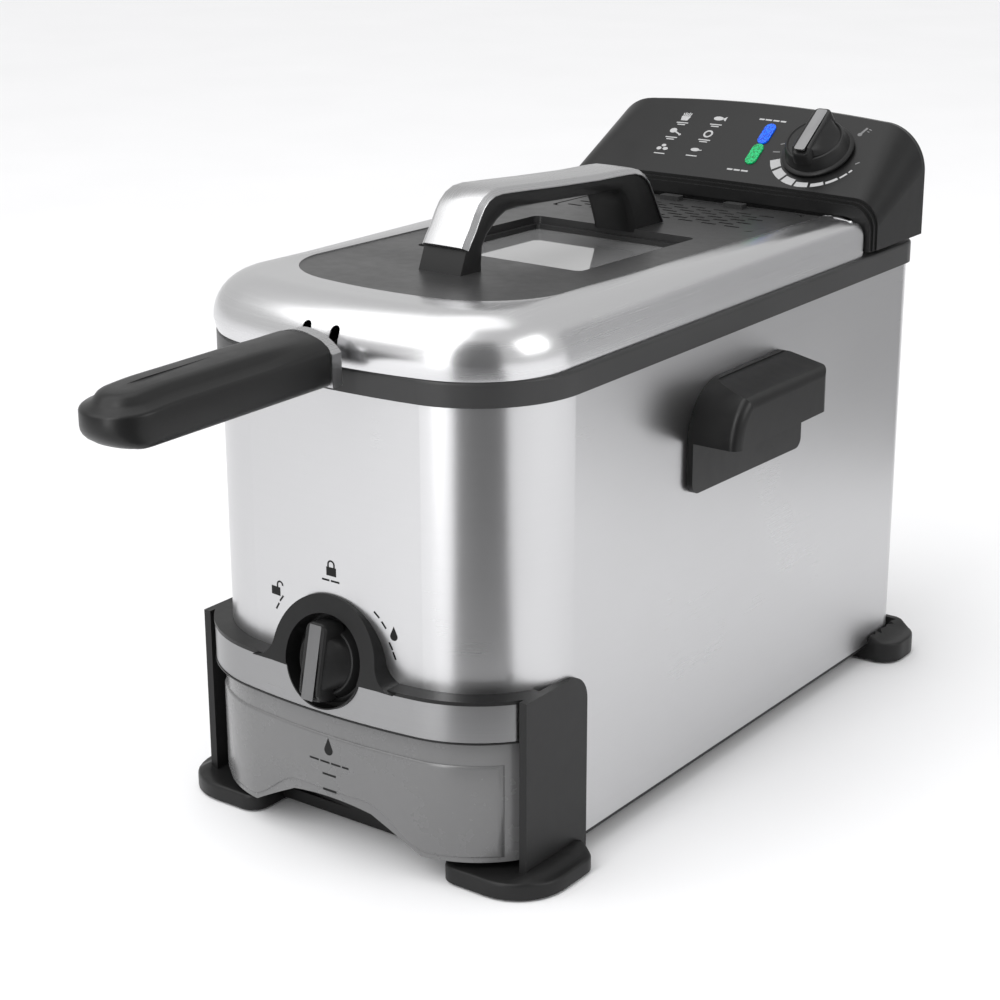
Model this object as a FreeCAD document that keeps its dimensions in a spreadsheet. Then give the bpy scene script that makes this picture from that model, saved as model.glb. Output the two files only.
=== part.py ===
import FreeCAD, Part
import math
import os
from FreeCAD import Placement, Rotation, Vector

# Deep fryer with a removable tank and a clean-oil box, in millimetres.
# Row frame: +Z up, +X to the fryer's right as its user faces it, the front faces -Y.
# The origin is under the middle of the whole object, on the surface it stands on.
# Depths are given as the distance behind the front edge of the lower cheeks, and depth()
# turns such a distance into a row Y.

DIMENSIONS = {
    "front_datum": -104.0,
    # stainless body
    "body_half": 95.0, "body_front": -20.1, "body_rear": 364.0, "body_corner": 53.0,
    "body_bow": 354.0, "body_rear_corner": 14.0, "body_bottom": 10.8, "body_top": 227.6,
    "body_gauge": 0.8,
    # black rim on top of the body
    "rim_top": 239.2, "rim_out": 2.0, "rim_in": 7.5,
    # lower front frame
    "frame_top": 94.5, "frame_low": 73.8, "frame_out": 8.0, "cheek_half": 97.0,
    "cheek_rear": 44.5, "cheek_front": -3.5, "cheek_foot": 4.0, "cheek_inner": 93.0,
    "strip_low": 74.6, "strip_high": 92.6, "strip_gauge": 0.9,
    # knob of the oil filter
    "knob_depth": -25.0, "knob_height": 99.0, "knob_tilt": 13.0, "knob_radius": 20.0,
    "knob_thick": 6.0, "cup_radius": 22.0, "arch_radius": 30.3, "grip_rise": 11.0,
    "grip_wide": 11.0, "shaft_radius": 4.0, "crank_radius": 14.36,
    "crank_depth": 40.0,
    # oil box
    "box_half": 87.0, "box_low": 13.0, "box_high": 70.0, "box_rear": 346.0,
    "box_front_out": 4.6, "box_face_half": 92.6, "box_face_high": 73.2, "box_wall": 2.2,
    "pull_half": 52.0, "pull_high": 29.0,
    # oil tank
    "tank_inset": 10.0, "tank_gauge": 1.2, "tank_floor": 106.5, "lip_low": 239.6,
    "lip_high": 240.7, "tank_rear": 353.6, "lip_out": 4.6,
    # lid
    "lid_half": 94.0, "lid_front": -22.5, "lid_rear": 304.0, "lid_corner": 50.0,
    "lid_bow": 260.0, "lid_low": 239.9, "lid_top": 263.4, "lid_fall": 1.3,
    "lid_shoulder": 18.0, "lid_gauge": 1.0, "insert_half": 71.0, "insert_front": 14.0,
    "insert_corner": 46.0, "insert_bow": 200.0, "insert_thick": 3.0,
    "window_half": 49.0, "window_front": 106.0, "window_rear": 209.0, "window_corner": 4.0,
    "window_step": 4.0, "window_drop": 6.5, "glass_thick": 2.4,
    "grille_front": 241.0, "grille_rear": 299.0, "grille_half": 61.0,
    # lid handle
    "grip_half": 13.5, "grip_front": 60.0, "grip_rear": 236.0, "grip_top": 34.5,
    "grip_fall": 2.2,
    # control unit
    "unit_half": 98.0, "unit_front": 311.0, "unit_rear": 366.0, "unit_low": 241.6,
    "unit_front_top": 268.8, "unit_top": 303.5, "unit_crest": 360.0, "unit_wall": 2.5,
    "dial_x": 48.5, "dial_depth": 334.5, "dial_radius": 20.0, "dial_thick": 9.5,
    "dial_grip": 16.6, "lamp_x": 12.5, "lamp_half": 4.4,
    "lamp_upper": 341.5, "lamp_lower": 328.5, "cover_gauge": 2.4,
    # side handles
    "side_low": 153.0, "side_high": 208.6, "side_near": 130.0, "side_far": 236.0,
    "side_out": 122.5, "hood_far": 218.0, "hood_low": 181.0,
    # feet
    "foot_half": 109.0, "foot_flat": 8.3, "rear_foot_half": 111.0, "rear_foot_high": 12.0,
    # basket
    "basket_half": 74.0, "basket_front": 6.0, "basket_rear": 292.0, "basket_low": 128.0,
    "basket_high": 226.0, "basket_wall": 2.0, "wire": 1.9,
    "wire_height": 248.4, "wire_half": 8.0,
    "handle_tip": -160.0, "handle_start": -37.2, "handle_low": 233.4, "handle_high": 256.4,
    "handle_half": 18.0,
}

doc = FreeCAD.newDocument("deep_fryer")
sheet = doc.addObject("Spreadsheet::Sheet", "dims")
for row, (alias, value) in enumerate(DIMENSIONS.items(), start=1):
    sheet.set(f"A{row}", alias)
    sheet.set(f"B{row}", str(value))
    sheet.setAlias(f"B{row}", alias)
doc.recompute()


def dim(alias):
    """A driving dimension, read from the sheet."""
    return float(sheet.get(alias))


def depth(distance):
    """Row Y of a point that lies this far behind the cheeks' front edge."""
    return distance + dim("front_datum")


# ---------------------------------------------------------------- outlines

def line(start, end):
    return Part.LineSegment(Vector(*start, 0), Vector(*end, 0))


def arc(start, middle, end):
    return Part.ArcOfCircle(Vector(*start, 0), Vector(*middle, 0), Vector(*end, 0))


def corner_arc(centre, radius, start_deg, end_deg):
    """An arc about centre, from one heading to another."""
    def at(heading):
        turn = math.radians(heading)
        return (centre[0] + radius * math.cos(turn), centre[1] + radius * math.sin(turn))
    return arc(at(start_deg), at((start_deg + end_deg) / 2), at(end_deg))


def bowed_outline(half, front, rear, corner, bow, rear_corner):
    """Plan of the fryer: bowed front, large front corners, straight sides and back."""
    centre_x = half - corner
    bow_y = front + bow
    centre_y = bow_y - math.sqrt((bow - corner) ** 2 - centre_x ** 2)
    heading = math.degrees(math.atan2(centre_y - bow_y, centre_x))
    turn = math.radians(heading)
    touch = (bow * math.cos(turn), bow_y + bow * math.sin(turn))
    inner = half - rear_corner
    edges = [
        line((-inner, rear), (inner, rear)),
        corner_arc((inner, rear - rear_corner), rear_corner, 90, 0),
        line((half, rear - rear_corner), (half, centre_y)),
        corner_arc((centre_x, centre_y), corner, 0, heading),
        arc(touch, (0, front), (-touch[0], touch[1])),
        corner_arc((-centre_x, centre_y), corner, -180 - heading, -180),
        line((-half, centre_y), (-half, rear - rear_corner)),
        corner_arc((-inner, rear - rear_corner), rear_corner, 180, 90),
    ]
    return edges


def body_outline(grow):
    """The stainless body's outline, moved outward by grow."""
    return bowed_outline(dim("body_half") + grow, depth(dim("body_front")) - grow,
                         depth(dim("body_rear")) + grow, dim("body_corner") + grow,
                         dim("body_bow") + grow, dim("body_rear_corner") + grow)


def tank_outline(grow):
    """The tank's outer wall, moved outward by grow."""
    inset = dim("tank_inset") - grow
    return bowed_outline(dim("body_half") - inset, depth(dim("body_front")) + inset,
                         depth(dim("tank_rear")) + grow, dim("body_corner") - inset,
                         dim("body_bow") - inset, 24 + grow)


def lid_outline(grow, rear_corner=3.0):
    return bowed_outline(dim("lid_half") + grow, depth(dim("lid_front")) - grow,
                         depth(dim("lid_rear")) + grow, dim("lid_corner") + grow,
                         dim("lid_bow") + grow, rear_corner)


def insert_outline(grow):
    return bowed_outline(dim("insert_half") + grow, depth(dim("insert_front")) - grow,
                         depth(dim("lid_rear")) - 1.5 + grow, dim("insert_corner") + grow,
                         dim("insert_bow") + grow, 3.0)


def rounded_corners(low, high, radii):
    """A rectangle whose corners, from (low, low) round through (high, low), have own radii."""
    (x0, y0), (x1, y1) = low, high
    a, b, c, d = radii
    return [
        line((x0 + a, y0), (x1 - b, y0)), corner_arc((x1 - b, y0 + b), b, -90, 0),
        line((x1, y0 + b), (x1, y1 - c)), corner_arc((x1 - c, y1 - c), c, 0, 90),
        line((x1 - c, y1), (x0 + d, y1)), corner_arc((x0 + d, y1 - d), d, 90, 180),
        line((x0, y1 - d), (x0, y0 + a)), corner_arc((x0 + a, y0 + a), a, 180, 270),
    ]


def rounded_rectangle(low, high, radius):
    return rounded_corners(low, high, (radius, radius, radius, radius))


def polygon(*points):
    ends = points[1:] + points[:1]
    return [line(start, end) for start, end in zip(points, ends)]


def circle(centre, radius):
    return [Part.Circle(Vector(*centre, 0), Vector(0, 0, 1), radius)]


def prism(loop, low, high):
    """A solid over a plan loop, between two heights."""
    wire = Part.Wire(Part.__sortEdges__([edge.toShape() for edge in loop]))
    wire.translate(Vector(0, 0, low))
    return Part.Face(wire).extrude(Vector(0, 0, high - low))


def box(x0, x1, y0, y1, z0, z1):
    """A block between limits, with depths behind the cheeks' front edge for Y."""
    return Part.makeBox(x1 - x0, y1 - y0, z1 - z0, Vector(x0, depth(y0), z0))


# ---------------------------------------------------------------- document helpers

pieces = []


class Piece:
    """A PartDesign body built from sketches on its own origin planes.

    Levels are expressions on the sheet. A sketch's own x and y are row X and Y on
    XY_Plane, row X and Z on XZ_Plane, and row Y and Z on YZ_Plane.
    """

    def __init__(self, label):
        self.label = label
        self.body = doc.addObject("PartDesign::Body", label)
        self.body.Label = label
        self.count = 0
        pieces.append(self.body)

    def sketch(self, role, loops, offset):
        self.count += 1
        sketch = self.body.newObject("Sketcher::SketchObject", f"{self.label}_sketch{self.count}")
        plane = next(o for o in self.body.Origin.OriginFeatures if o.Role == role)
        sketch.AttachmentSupport = [(plane, "")]
        sketch.MapMode = "FlatFace"
        sketch.setExpression("AttachmentOffset.Base.z", offset)
        for loop in loops:
            for edge in loop:
                sketch.addGeometry(edge, False)
        return sketch

    def pad(self, loops, low, high, role="XY_Plane"):
        start = f"-({high})" if role == "XZ_Plane" else low
        before = self.body.Shape.Volume if self.count else 0.0
        sketch = self.sketch(role, loops, start)
        pad = self.body.newObject("PartDesign::Pad", f"{self.label}_pad{self.count}")
        pad.Profile = sketch
        pad.setExpression("Length", f"({high}) - ({low})")
        doc.recompute()
        if self.body.Shape.Volume < before + 0.01:
            raise RuntimeError(f"{self.label}: a pad added nothing")
        return self

    def pocket(self, loops, low, high, role="XY_Plane"):
        start = f"-({low})" if role == "XZ_Plane" else high
        sketch = self.sketch(role, loops, start)
        before = self.body.Shape.Volume
        pocket = self.body.newObject("PartDesign::Pocket", f"{self.label}_pocket{self.count}")
        pocket.Profile = sketch
        pocket.setExpression("Length", f"({high}) - ({low})")
        doc.recompute()
        if self.body.Shape.Volume > before - 0.01:
            raise RuntimeError(f"{self.label}: a pocket cut nothing")
        return self

    def round(self, radius, choose, kind="Fillet"):
        """Fillet or chamfer the edges that choose() accepts."""
        tip = self.body.Tip
        names = [f"Edge{i}" for i, edge in enumerate(tip.Shape.Edges, start=1) if choose(edge)]
        feature = self.body.newObject(f"PartDesign::{kind}", f"{self.label}_{kind}{self.count}")
        feature.Base = (tip, names)
        if kind == "Fillet":
            feature.Radius = radius
        else:
            feature.Size = radius
        doc.recompute()
        return self

    def place(self, placement):
        self.body.Placement = placement
        return self


def feature(label, shape, placement=None):
    """A sub-part whose shape is made in code from the sheet's dimensions."""
    obj = doc.addObject("Part::Feature", label)
    obj.Label = label
    obj.Shape = shape
    if placement is not None:
        obj.Placement = placement
    pieces.append(obj)
    return obj


def centre_of(edge):
    return edge.BoundBox.Center


def is_vertical(edge):
    size = edge.BoundBox
    return size.ZLength > 0.5 and size.XLength < 0.01 and size.YLength < 0.01


def at_height(level):
    """Chooses the level edges at one height."""
    return lambda edge: edge.BoundBox.ZLength < 0.01 and abs(centre_of(edge).z - level) < 0.01


def mirrored(shape):
    """The same shape on the other side of the fryer."""
    return shape.mirror(Vector(0, 0, 0), Vector(1, 0, 0))


def cylinders(spots, radius, low, high):
    return [Part.makeCylinder(radius, high - low, Vector(x, y, low)) for x, y in spots]


# The knob and what turns with it lie along an axis that slopes down into the body.
KNOB_PLACE = Placement(Vector(0, depth(dim("knob_depth")), dim("knob_height")),
                       Rotation(Vector(1, 0, 0), 90 - dim("knob_tilt")))
# Panel pieces stand on the control unit's sloped face.
PANEL_RISE = math.degrees(math.atan2(dim("unit_top") - dim("unit_front_top"),
                                     dim("unit_crest") - dim("unit_front")))


def panel_height(distance):
    """Height of the control panel's face at a depth."""
    return dim("unit_front_top") + (distance - dim("unit_front")) * math.tan(math.radians(PANEL_RISE))


def on_panel(x, distance, lift=0.0):
    """A place on the panel's face whose +Z is the face's outward normal."""
    turn = Rotation(Vector(1, 0, 0), PANEL_RISE)
    spot = Vector(x, depth(distance), panel_height(distance))
    return Placement(spot + turn.multVec(Vector(0, 0, lift)), turn)


# The lid's top falls gently to the back. Pieces on it are made level and tipped with it.
LID_PIVOT = Vector(0, depth(60), dim("lid_top"))
LID_PLACE = Placement(Vector(0, 0, 0), Rotation(Vector(1, 0, 0), -dim("lid_fall")), LID_PIVOT)


# ---------------------------------------------------------------- housing

def make_outer_housing():
    low, high = dim("body_bottom"), dim("body_top")
    gauge = dim("body_gauge")
    shell = prism(body_outline(0), low, high).cut(prism(body_outline(-gauge), low - 1, high + 1))
    front_mouth = box(-dim("cheek_inner") + 0.5, dim("cheek_inner") - 0.5, -40, 30, 0, 90)
    cup_hole = Part.makeCylinder(dim("cup_radius") + 4.5, 60, Vector(0, 0, -30))
    cup_hole.Placement = KNOB_PLACE
    feature("outer_housing", shell.cut(front_mouth).cut(cup_hole).removeSplitter())


def make_base_pan():
    """Bottom plate with its two slide rails, front crossbar and screw bosses."""
    rail_in, rail_out = dim("box_half") + 0.6, dim("body_half") - 1.3
    rear = depth(dim("body_rear")) - 1.5
    pan = Piece("base_pan")
    pan.pad([bowed_outline(dim("body_half") - 1.1, depth(4), rear, 30, 354, 12.5)],
            "8.2", "dims.body_bottom + 0.2")
    ribs = [rounded_rectangle((x - 2, depth(20)), (x + 2, depth(344)), 1.9) for x in (-66, 66)]
    pan.pad(ribs, "dims.body_bottom + 0.2", "dims.box_low - 0.3")
    for side in (-1, 1):
        low, high = sorted((side * rail_in, side * rail_out))
        pan.pad([rounded_rectangle((low, depth(46)), (high, depth(350)), 1.5)],
                "dims.body_bottom + 0.2", "27")
    pan.pad([rounded_rectangle((-60, depth(4.2)), (60, depth(12)), 1.0)], "2.2", "8.2")
    vents = [rounded_rectangle((x, depth(y)), (x + 4, depth(y) + 40), 1.9)
             for x in range(-58, 60, 14) for y in (120, 180, 240)]
    pan.pocket(vents, "8", "dims.body_bottom + 0.4")


def make_rim_collar():
    rim = Piece("rim_collar")
    rim.pad([body_outline(dim("rim_out")), body_outline(-dim("rim_in"))],
            "dims.body_top", "dims.rim_top")
    outer_y = depth(dim("body_front")) - dim("rim_out")

    def outer_top(edge):
        box_of = edge.BoundBox
        far = max(abs(box_of.XMin), abs(box_of.XMax)) > dim("body_half") + 1
        front = box_of.YMin < outer_y + 0.5
        back = box_of.YMax > depth(dim("body_rear")) + 1
        return at_height(dim("rim_top"))(edge) and (far or front or back)
    rim.round(1.6, outer_top)
    rim.pad([body_outline(-1.0), body_outline(-3.4)], "dims.body_top - 5", "dims.body_top")
    passage = rounded_rectangle((-24.6, depth(dim("body_rear")) - 4.2), (24.6, depth(dim("body_rear")) - 1.4), 1)
    rim.pocket([passage], "dims.body_top - 6", "dims.rim_top + 1")


def knob_solid(radius, low, high):
    """A cylinder on the knob's axis; low and high are measured outward from its face."""
    solid = Part.makeCylinder(radius, high - low, Vector(0, 0, low))
    solid.Placement = KNOB_PLACE
    return solid


def arch_profile():
    """Front view of the arched boss, with hollow flares where it meets the ledge."""
    radius, flare = dim("arch_radius"), 12.0
    base, middle = dim("frame_top") - 1.0, dim("knob_height") + 0.5
    rise = base + flare - middle
    spread = math.sqrt((radius + flare) ** 2 - rise ** 2)
    touch = math.degrees(math.atan2(rise, spread))
    right = corner_arc((spread, base + flare), flare, 180 + touch, 270)
    left = corner_arc((-spread, base + flare), flare, -touch, -90)
    top = corner_arc((0, middle), radius, touch, 180 - touch)
    return [right, top, left, line((spread, base), (-spread, base))]


def make_front_frame():
    """Cheeks, ledge and arched knob boss: one black moulding round the lower front."""
    top, low = dim("frame_top"), dim("frame_low")
    half, inner = dim("cheek_half"), dim("cheek_inner")
    ledge = prism(body_outline(dim("frame_out") + 1.3), low, top)
    ledge = ledge.common(box(-half, half, -60, 12, low, top))
    recess = prism(body_outline(dim("frame_out") + 5), dim("strip_low") - 0.1, dim("strip_high") + 0.1)
    recess = recess.cut(prism(body_outline(dim("frame_out")), 0, 200))
    recess = recess.common(box(-inner, inner, -60, 60, 0, 200))
    cheeks = []
    for side in (-1, 1):
        x0, x1 = sorted((side * inner, side * half))
        plate = box(x0, x1, dim("cheek_front"), dim("cheek_rear"), dim("cheek_foot"), top)
        upper_rear = [e for e in plate.Edges if e.BoundBox.XLength > 1
                      and centre_of(e).y > depth(dim("cheek_rear")) - 1 and centre_of(e).z > top - 1]
        plate = plate.makeFillet(14, upper_rear)
        cheeks.append(plate)
    arch_wire = Part.Wire(Part.__sortEdges__([edge.toShape() for edge in arch_profile()]))
    arch = Part.Face(arch_wire).extrude(Vector(0, 0, 60))
    arch.Placement = Placement(Vector(0, depth(20), 0), Rotation(Vector(1, 0, 0), 90))
    lean = Part.makeBox(200, 100, 200, Vector(-100, 0, -100))
    lean.Placement = Placement(Vector(0, depth(dim("knob_depth") - 3.2), dim("knob_height")),
                               Rotation(Vector(1, 0, 0), -dim("knob_tilt")))
    arch = arch.common(lean)
    frame = ledge.fuse([arch] + cheeks).cut(prism(body_outline(0.05), 0, 300)).cut(recess)
    cup_floor = -dim("knob_thick") - 1.2
    back = cup_floor - 2.2
    outside_wall = knob_solid(dim("cup_radius") + 0.6, back, 2.0)
    inside_wall = knob_solid(dim("cup_radius") + 3, back, 2.0).common(prism(body_outline(0.3), 0, 300))
    bearing = knob_solid(8, -30, cup_floor)
    boss = outside_wall.fuse(inside_wall).fuse(bearing).cut(prism(tank_outline(1.0), 104, 300))
    cup = knob_solid(dim("cup_radius"), cup_floor, 40)
    bore = knob_solid(dim("shaft_radius") + 0.08, -40, 5)
    feature("front_frame", frame.fuse(boss).cut(cup).cut(bore).removeSplitter())


def make_fascia_strip():
    low, high, gauge = dim("strip_low"), dim("strip_high"), dim("strip_gauge")
    inner = dim("cheek_inner") - 0.1
    strip = prism(body_outline(dim("frame_out") + gauge), low, high)
    strip = strip.cut(prism(body_outline(dim("frame_out")), low - 1, high + 1))
    strip = strip.common(box(-inner, inner, -60, 12, low, high))
    notch = knob_solid(dim("cup_radius") + 0.65, -20, 40)
    feature("fascia_strip", strip.cut(notch).removeSplitter())


def foot_shape(front):
    """A flared pad under one right-hand corner, with a block that carries the housing."""
    if front:
        flat = dim("foot_flat")
        loop = rounded_corners((56, depth(-16.5)), (dim("foot_half"), depth(38)), (8, 26, 10, 8))
        pad = prism(loop, 1.2, flat)
        pad = pad.makeFillet(1.4, [e for e in pad.Edges if at_height(flat)(e)])
        return pad.fuse(box(60, 92.4, 13, 36, flat - 1, 10.6))
    flat = dim("rear_foot_high")
    loop = rounded_corners((74, depth(331)), (dim("rear_foot_half"), depth(368)), (8, 12, 16, 6))
    pad = prism(loop, 1.2, flat)
    return pad.makeFillet(2.0, [e for e in pad.Edges if at_height(flat)(e)])


def make_feet():
    pan = prism(bowed_outline(dim("body_half") - 1.05, depth(3.9), depth(dim("body_rear")) - 1,
                              30, 354, 12), 8.15, 40)
    cheek = box(0, dim("cheek_half") + 0.1, dim("cheek_front") - 0.1, dim("cheek_rear") + 0.1,
                dim("cheek_foot") - 0.1, 40)
    cheek = cheek.cut(box(0, dim("cheek_inner") - 0.1, -40, 80, 0, 60))
    clear = pan.fuse([prism(body_outline(0.05), 9.0, 40), cheek, box(-61, 61, 3, 13, 1, 40)])
    for name, front in (("front", True), ("rear", False)):
        shape = foot_shape(front).cut(clear).removeSplitter()
        feature(f"{name}_foot_right", shape)
        feature(f"{name}_foot_left", mirrored(shape))
    spots = [(side * 84, depth(y)) for side in (-1, 1) for y in (20, 352)]
    feature("foot_pads", Part.makeCompound(cylinders(spots, 9, 0, 1.2)))


def side_handle_shape():
    """Right-hand grip: a plate on the body's side and a hood to lift by."""
    x_in, x_out = dim("body_half") + 0.05, dim("side_out")
    near, far = depth(dim("side_near")), depth(dim("side_far"))
    low, high = dim("side_low"), dim("side_high")
    plate_loop = [line((near + 6, low + 2), (far - 5, low)), corner_arc((far - 5, low + 5), 5, -90, 0),
                  line((far, low + 5), (far, high - 26)),
                  arc((far, high - 26), (far - 7, high - 8), (far - 22, high)),
                  line((far - 22, high), (near + 26, high)),
                  arc((near + 26, high), (near + 7.6, high - 8), (near, high - 28)),
                  line((near, high - 28), (near, low + 8)), corner_arc((near + 6, low + 8), 6, 180, 270)]
    wire = Part.Wire(Part.__sortEdges__([edge.toShape() for edge in plate_loop]))
    plate = Part.Face(wire).extrude(Vector(0, 0, 3.2))
    outer = Part.Face(wire).extrude(Vector(0, 0, x_out - x_in))
    stand = Placement(Vector(x_in, 0, 0), Rotation(Vector(1, 1, 1), 120))
    plate.Placement = stand
    outer.Placement = stand
    hood = outer.common(box(x_in, x_out, dim("side_near") - 1, dim("hood_far"), dim("hood_low"), high + 1))
    slope = Part.makeBox(80, 300, 40, Vector(0, depth(50), 0))
    slope.Placement = Placement(Vector(x_in, 0, high), Rotation(Vector(0, 1, 0), 11), Vector(0, 0, 0))
    hood = hood.cut(slope)
    soft = [e for e in hood.Edges if centre_of(e).x > x_out - 1.5 and centre_of(e).z > dim("hood_low") + 2
            and e.Length > 4]
    hood = hood.makeFillet(5.0, soft)
    hollow = box(x_in + 3.2, x_out - 4.5, dim("side_near") + 5, dim("hood_far") - 4.5,
                 dim("hood_low") - 1, high - 13)
    return plate.fuse(hood).cut(hollow).removeSplitter()


def make_side_handles():
    shape = side_handle_shape()
    feature("side_handle_right", shape)
    feature("side_handle_left", mirrored(shape))
    screws = []
    for y in (150, 212):
        head = Part.makeCylinder(4, 2.4, Vector(91.7, depth(y), 168), Vector(1, 0, 0))
        screws += [head, mirrored(head)]
    feature("handle_screws", Part.makeCompound(screws))


def make_divider_shelf():
    """Steel shelf between the tank and the oil box, with the drain's passage."""
    shelf = Piece("divider_shelf")
    half = dim("body_half") - dim("body_gauge") - 0.1
    plan = rounded_rectangle((-half, depth(56)), (half, depth(348)), 6)
    hole = rounded_rectangle((-20, depth(64)), (20, depth(102)), 5)
    shelf.pad([plan, hole], "75", "76")
    for side in (-1, 1):
        low, high = sorted((side * half, side * (half - 1)))
        shelf.pad([polygon((low, depth(62)), (high, depth(62)), (high, depth(342)), (low, depth(342)))],
                  "76", "84")


def make_control_bracket():
    """Upright steel tongue that the control unit slides down over."""
    bracket = Piece("control_bracket")
    low, high = depth(dim("body_rear")) - 3.8, depth(dim("body_rear")) - 1.8
    bracket.pad([polygon((-24, low), (24, low), (24, high), (-24, high))], "dims.body_top - 6", "262")
    bracket.pad([polygon((-24, low), (24, low), (24, high + 1), (-24, high + 1))],
                "dims.body_top - 26", "dims.body_top - 6")


def make_base_screws():
    spots = [(side * 40, depth(y)) for side in (-1, 1) for y in (60, 330)]
    heads = cylinders(spots, 4.0, 6.2, 8.2)
    feature("base_screws", Part.makeCompound(heads))


# ---------------------------------------------------------------- knob and drain

def make_filter_knob():
    """Round knob with a raised bar grip, made about its own axis."""
    thick, rise, wide = dim("knob_thick"), dim("grip_rise"), dim("grip_wide")
    knob = Piece("filter_knob")
    knob.pad([circle((0, 0), dim("knob_radius"))], "-dims.knob_thick", "0")
    knob.round(1.2, lambda e: abs(centre_of(e).z) < 0.01)
    knob.pad([rounded_rectangle((-wide / 2, -18.5), (wide / 2, 18.5), 3.0)], "-1", "dims.grip_rise - 0.8")
    knob.pocket([rounded_rectangle((-3.5, -17.6), (3.5, 17.6), 0.6)], "dims.grip_rise - 1.6", "dims.grip_rise")
    knob.place(KNOB_PLACE)
    strip = Piece("knob_strip")
    strip.pad([rounded_rectangle((-3.4, -17.5), (3.4, 17.5), 0.5)], "dims.grip_rise - 1.6", "dims.grip_rise")
    strip.place(KNOB_PLACE)


def make_knob_shaft():
    """Steel shaft with a crank arm, whose pin pushes the drain gate sideways."""
    tilt = math.radians(dim("knob_tilt"))
    length = (dim("crank_depth") - dim("knob_depth")) / math.cos(tilt)
    radius = dim("crank_radius")
    rod = Part.makeCylinder(dim("shaft_radius"), length - dim("knob_thick"), Vector(0, 0, -length))
    hub = Part.makeCylinder(6.2, 4, Vector(0, 0, -length))
    arm = Part.makeBox(6, radius, 3, Vector(-3, 0, -length + 0.5))
    pin = Part.makeCylinder(1.6, 10.5, Vector(0, radius, -length - 8))
    shaft = rod.fuse([hub, arm, pin]).removeSplitter()
    feature("knob_shaft", shaft, KNOB_PLACE)
    cam_at = -45.0
    ring = Part.makeCylinder(8, 5, Vector(0, 0, cam_at))
    lobe = Part.makeBox(9, 15, 5, Vector(-4.5, -15, cam_at))
    bore = Part.makeCylinder(dim("shaft_radius") + 0.02, 20, Vector(0, 0, cam_at - 5))
    feature("lock_cam", ring.fuse(lobe).cut(bore).removeSplitter(), KNOB_PLACE)


def make_drain_gate():
    """Sliding shutter under the tank. Its port meets the drain at the filter setting."""
    gate = Piece("drain_gate")
    plan = rounded_rectangle((-34, depth(36)), (22, depth(98)), 2)
    port = rounded_rectangle((-16, depth(70)), (-6, depth(94)), 4.9)
    gate.pad([plan, port], "100.4", "102.4")
    gate.pad([polygon((-9, depth(44.6)), (9, depth(44.6)), (9, depth(50)), (-9, depth(50)))], "88", "100.4")
    gate.pocket([polygon((-2.8, 86), (2.8, 86), (2.8, 100.4), (-2.8, 100.4))],
                "dims.front_datum + 43", "dims.front_datum + 52", "XZ_Plane")


def make_oil_tank():
    floor, gauge = dim("tank_floor"), dim("tank_gauge")
    tank = Piece("oil_tank")
    tank.pad([tank_outline(0)], "dims.tank_floor", "dims.lip_high")
    tank.round(14, at_height(floor))
    tank.pad([tank_outline(dim("lip_out"))], "dims.lip_low", "dims.lip_high")
    tank.pocket([tank_outline(-gauge)], "dims.tank_floor + 13", "dims.lip_high + 1")
    tank.pocket([tank_outline(-gauge - 9)], "dims.tank_floor + dims.tank_gauge", "dims.tank_floor + 13")
    tank.pocket([rounded_rectangle((-5, depth(70)), (5, depth(94)), 4.9)],
                "dims.tank_floor - 1", "dims.tank_floor + 2")


def make_valve_body():
    """Guide for the gate, with the outlet that drips into the oil box."""
    valve = Piece("valve_body")
    valve.pad([rounded_rectangle((-44, depth(66)), (44, depth(102)), 3)], "97.4", "dims.tank_floor")
    valve.pad([rounded_rectangle((-12, depth(68)), (12, depth(98)), 6)], "79", "97.4")
    slot = polygon((-45, 100.1), (45, 100.1), (45, 102.7), (-45, 102.7))
    valve.pocket([slot], "dims.front_datum + 60", "dims.front_datum + 98.4", "XZ_Plane")
    valve.pocket([rounded_rectangle((-5, depth(70)), (5, depth(94)), 4.9)], "78", "dims.tank_floor + 1")


def make_drain_strainer():
    """Raised perforated cap over the drain, inside the tank."""
    cap = Piece("drain_strainer")
    cap.pad([rounded_rectangle((-9, depth(66)), (9, depth(98)), 7)],
            "dims.tank_floor + dims.tank_gauge", "dims.tank_floor + dims.tank_gauge + 5")
    cap.pocket([rounded_rectangle((-8, depth(67)), (8, depth(97)), 6)],
               "dims.tank_floor + dims.tank_gauge - 1", "dims.tank_floor + dims.tank_gauge + 4")
    holes = [circle((x, depth(y)), 0.9) for x in (-5, -1.7, 1.7, 5) for y in range(72, 94, 4)]
    cap.pocket(holes, "dims.tank_floor + dims.tank_gauge + 3", "dims.tank_floor + dims.tank_gauge + 6")


# ---------------------------------------------------------------- oil box

def box_face_solid(low, high, shrink=0.0):
    """The box's bowed front volume between the cheeks."""
    half = dim("box_face_half") - shrink
    solid = prism(body_outline(dim("box_front_out") - shrink), low, high)
    return solid.common(box(-half, half, -60, 12, low, high))


def make_oil_box():
    wall, low, high = dim("box_wall"), dim("box_low"), dim("box_high")
    half, rear = dim("box_half"), dim("box_rear")
    face = box_face_solid(low, dim("box_face_high"))
    tub = box(-half, half, 2, rear, low, high)
    tub = tub.makeFillet(8, [e for e in tub.Edges if is_vertical(e) and centre_of(e).y > depth(rear) - 1])
    outer = face.fuse(tub)
    inner_face = box_face_solid(low + wall, high + 9, wall)
    inner_tub = box(-half + wall, half - wall, 0, rear - wall, low + wall, high + 9)
    inner_tub = inner_tub.makeFillet(6, [e for e in inner_tub.Edges
                                         if is_vertical(e) and centre_of(e).y > depth(rear) - 4])
    inner = inner_face.fuse(inner_tub)
    cutter = pull_cutter(0)
    around_pull = pull_cutter(wall)
    shape = outer.cut(inner.cut(around_pull)).cut(cutter)
    feature("oil_box", shape.removeSplitter())


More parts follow.
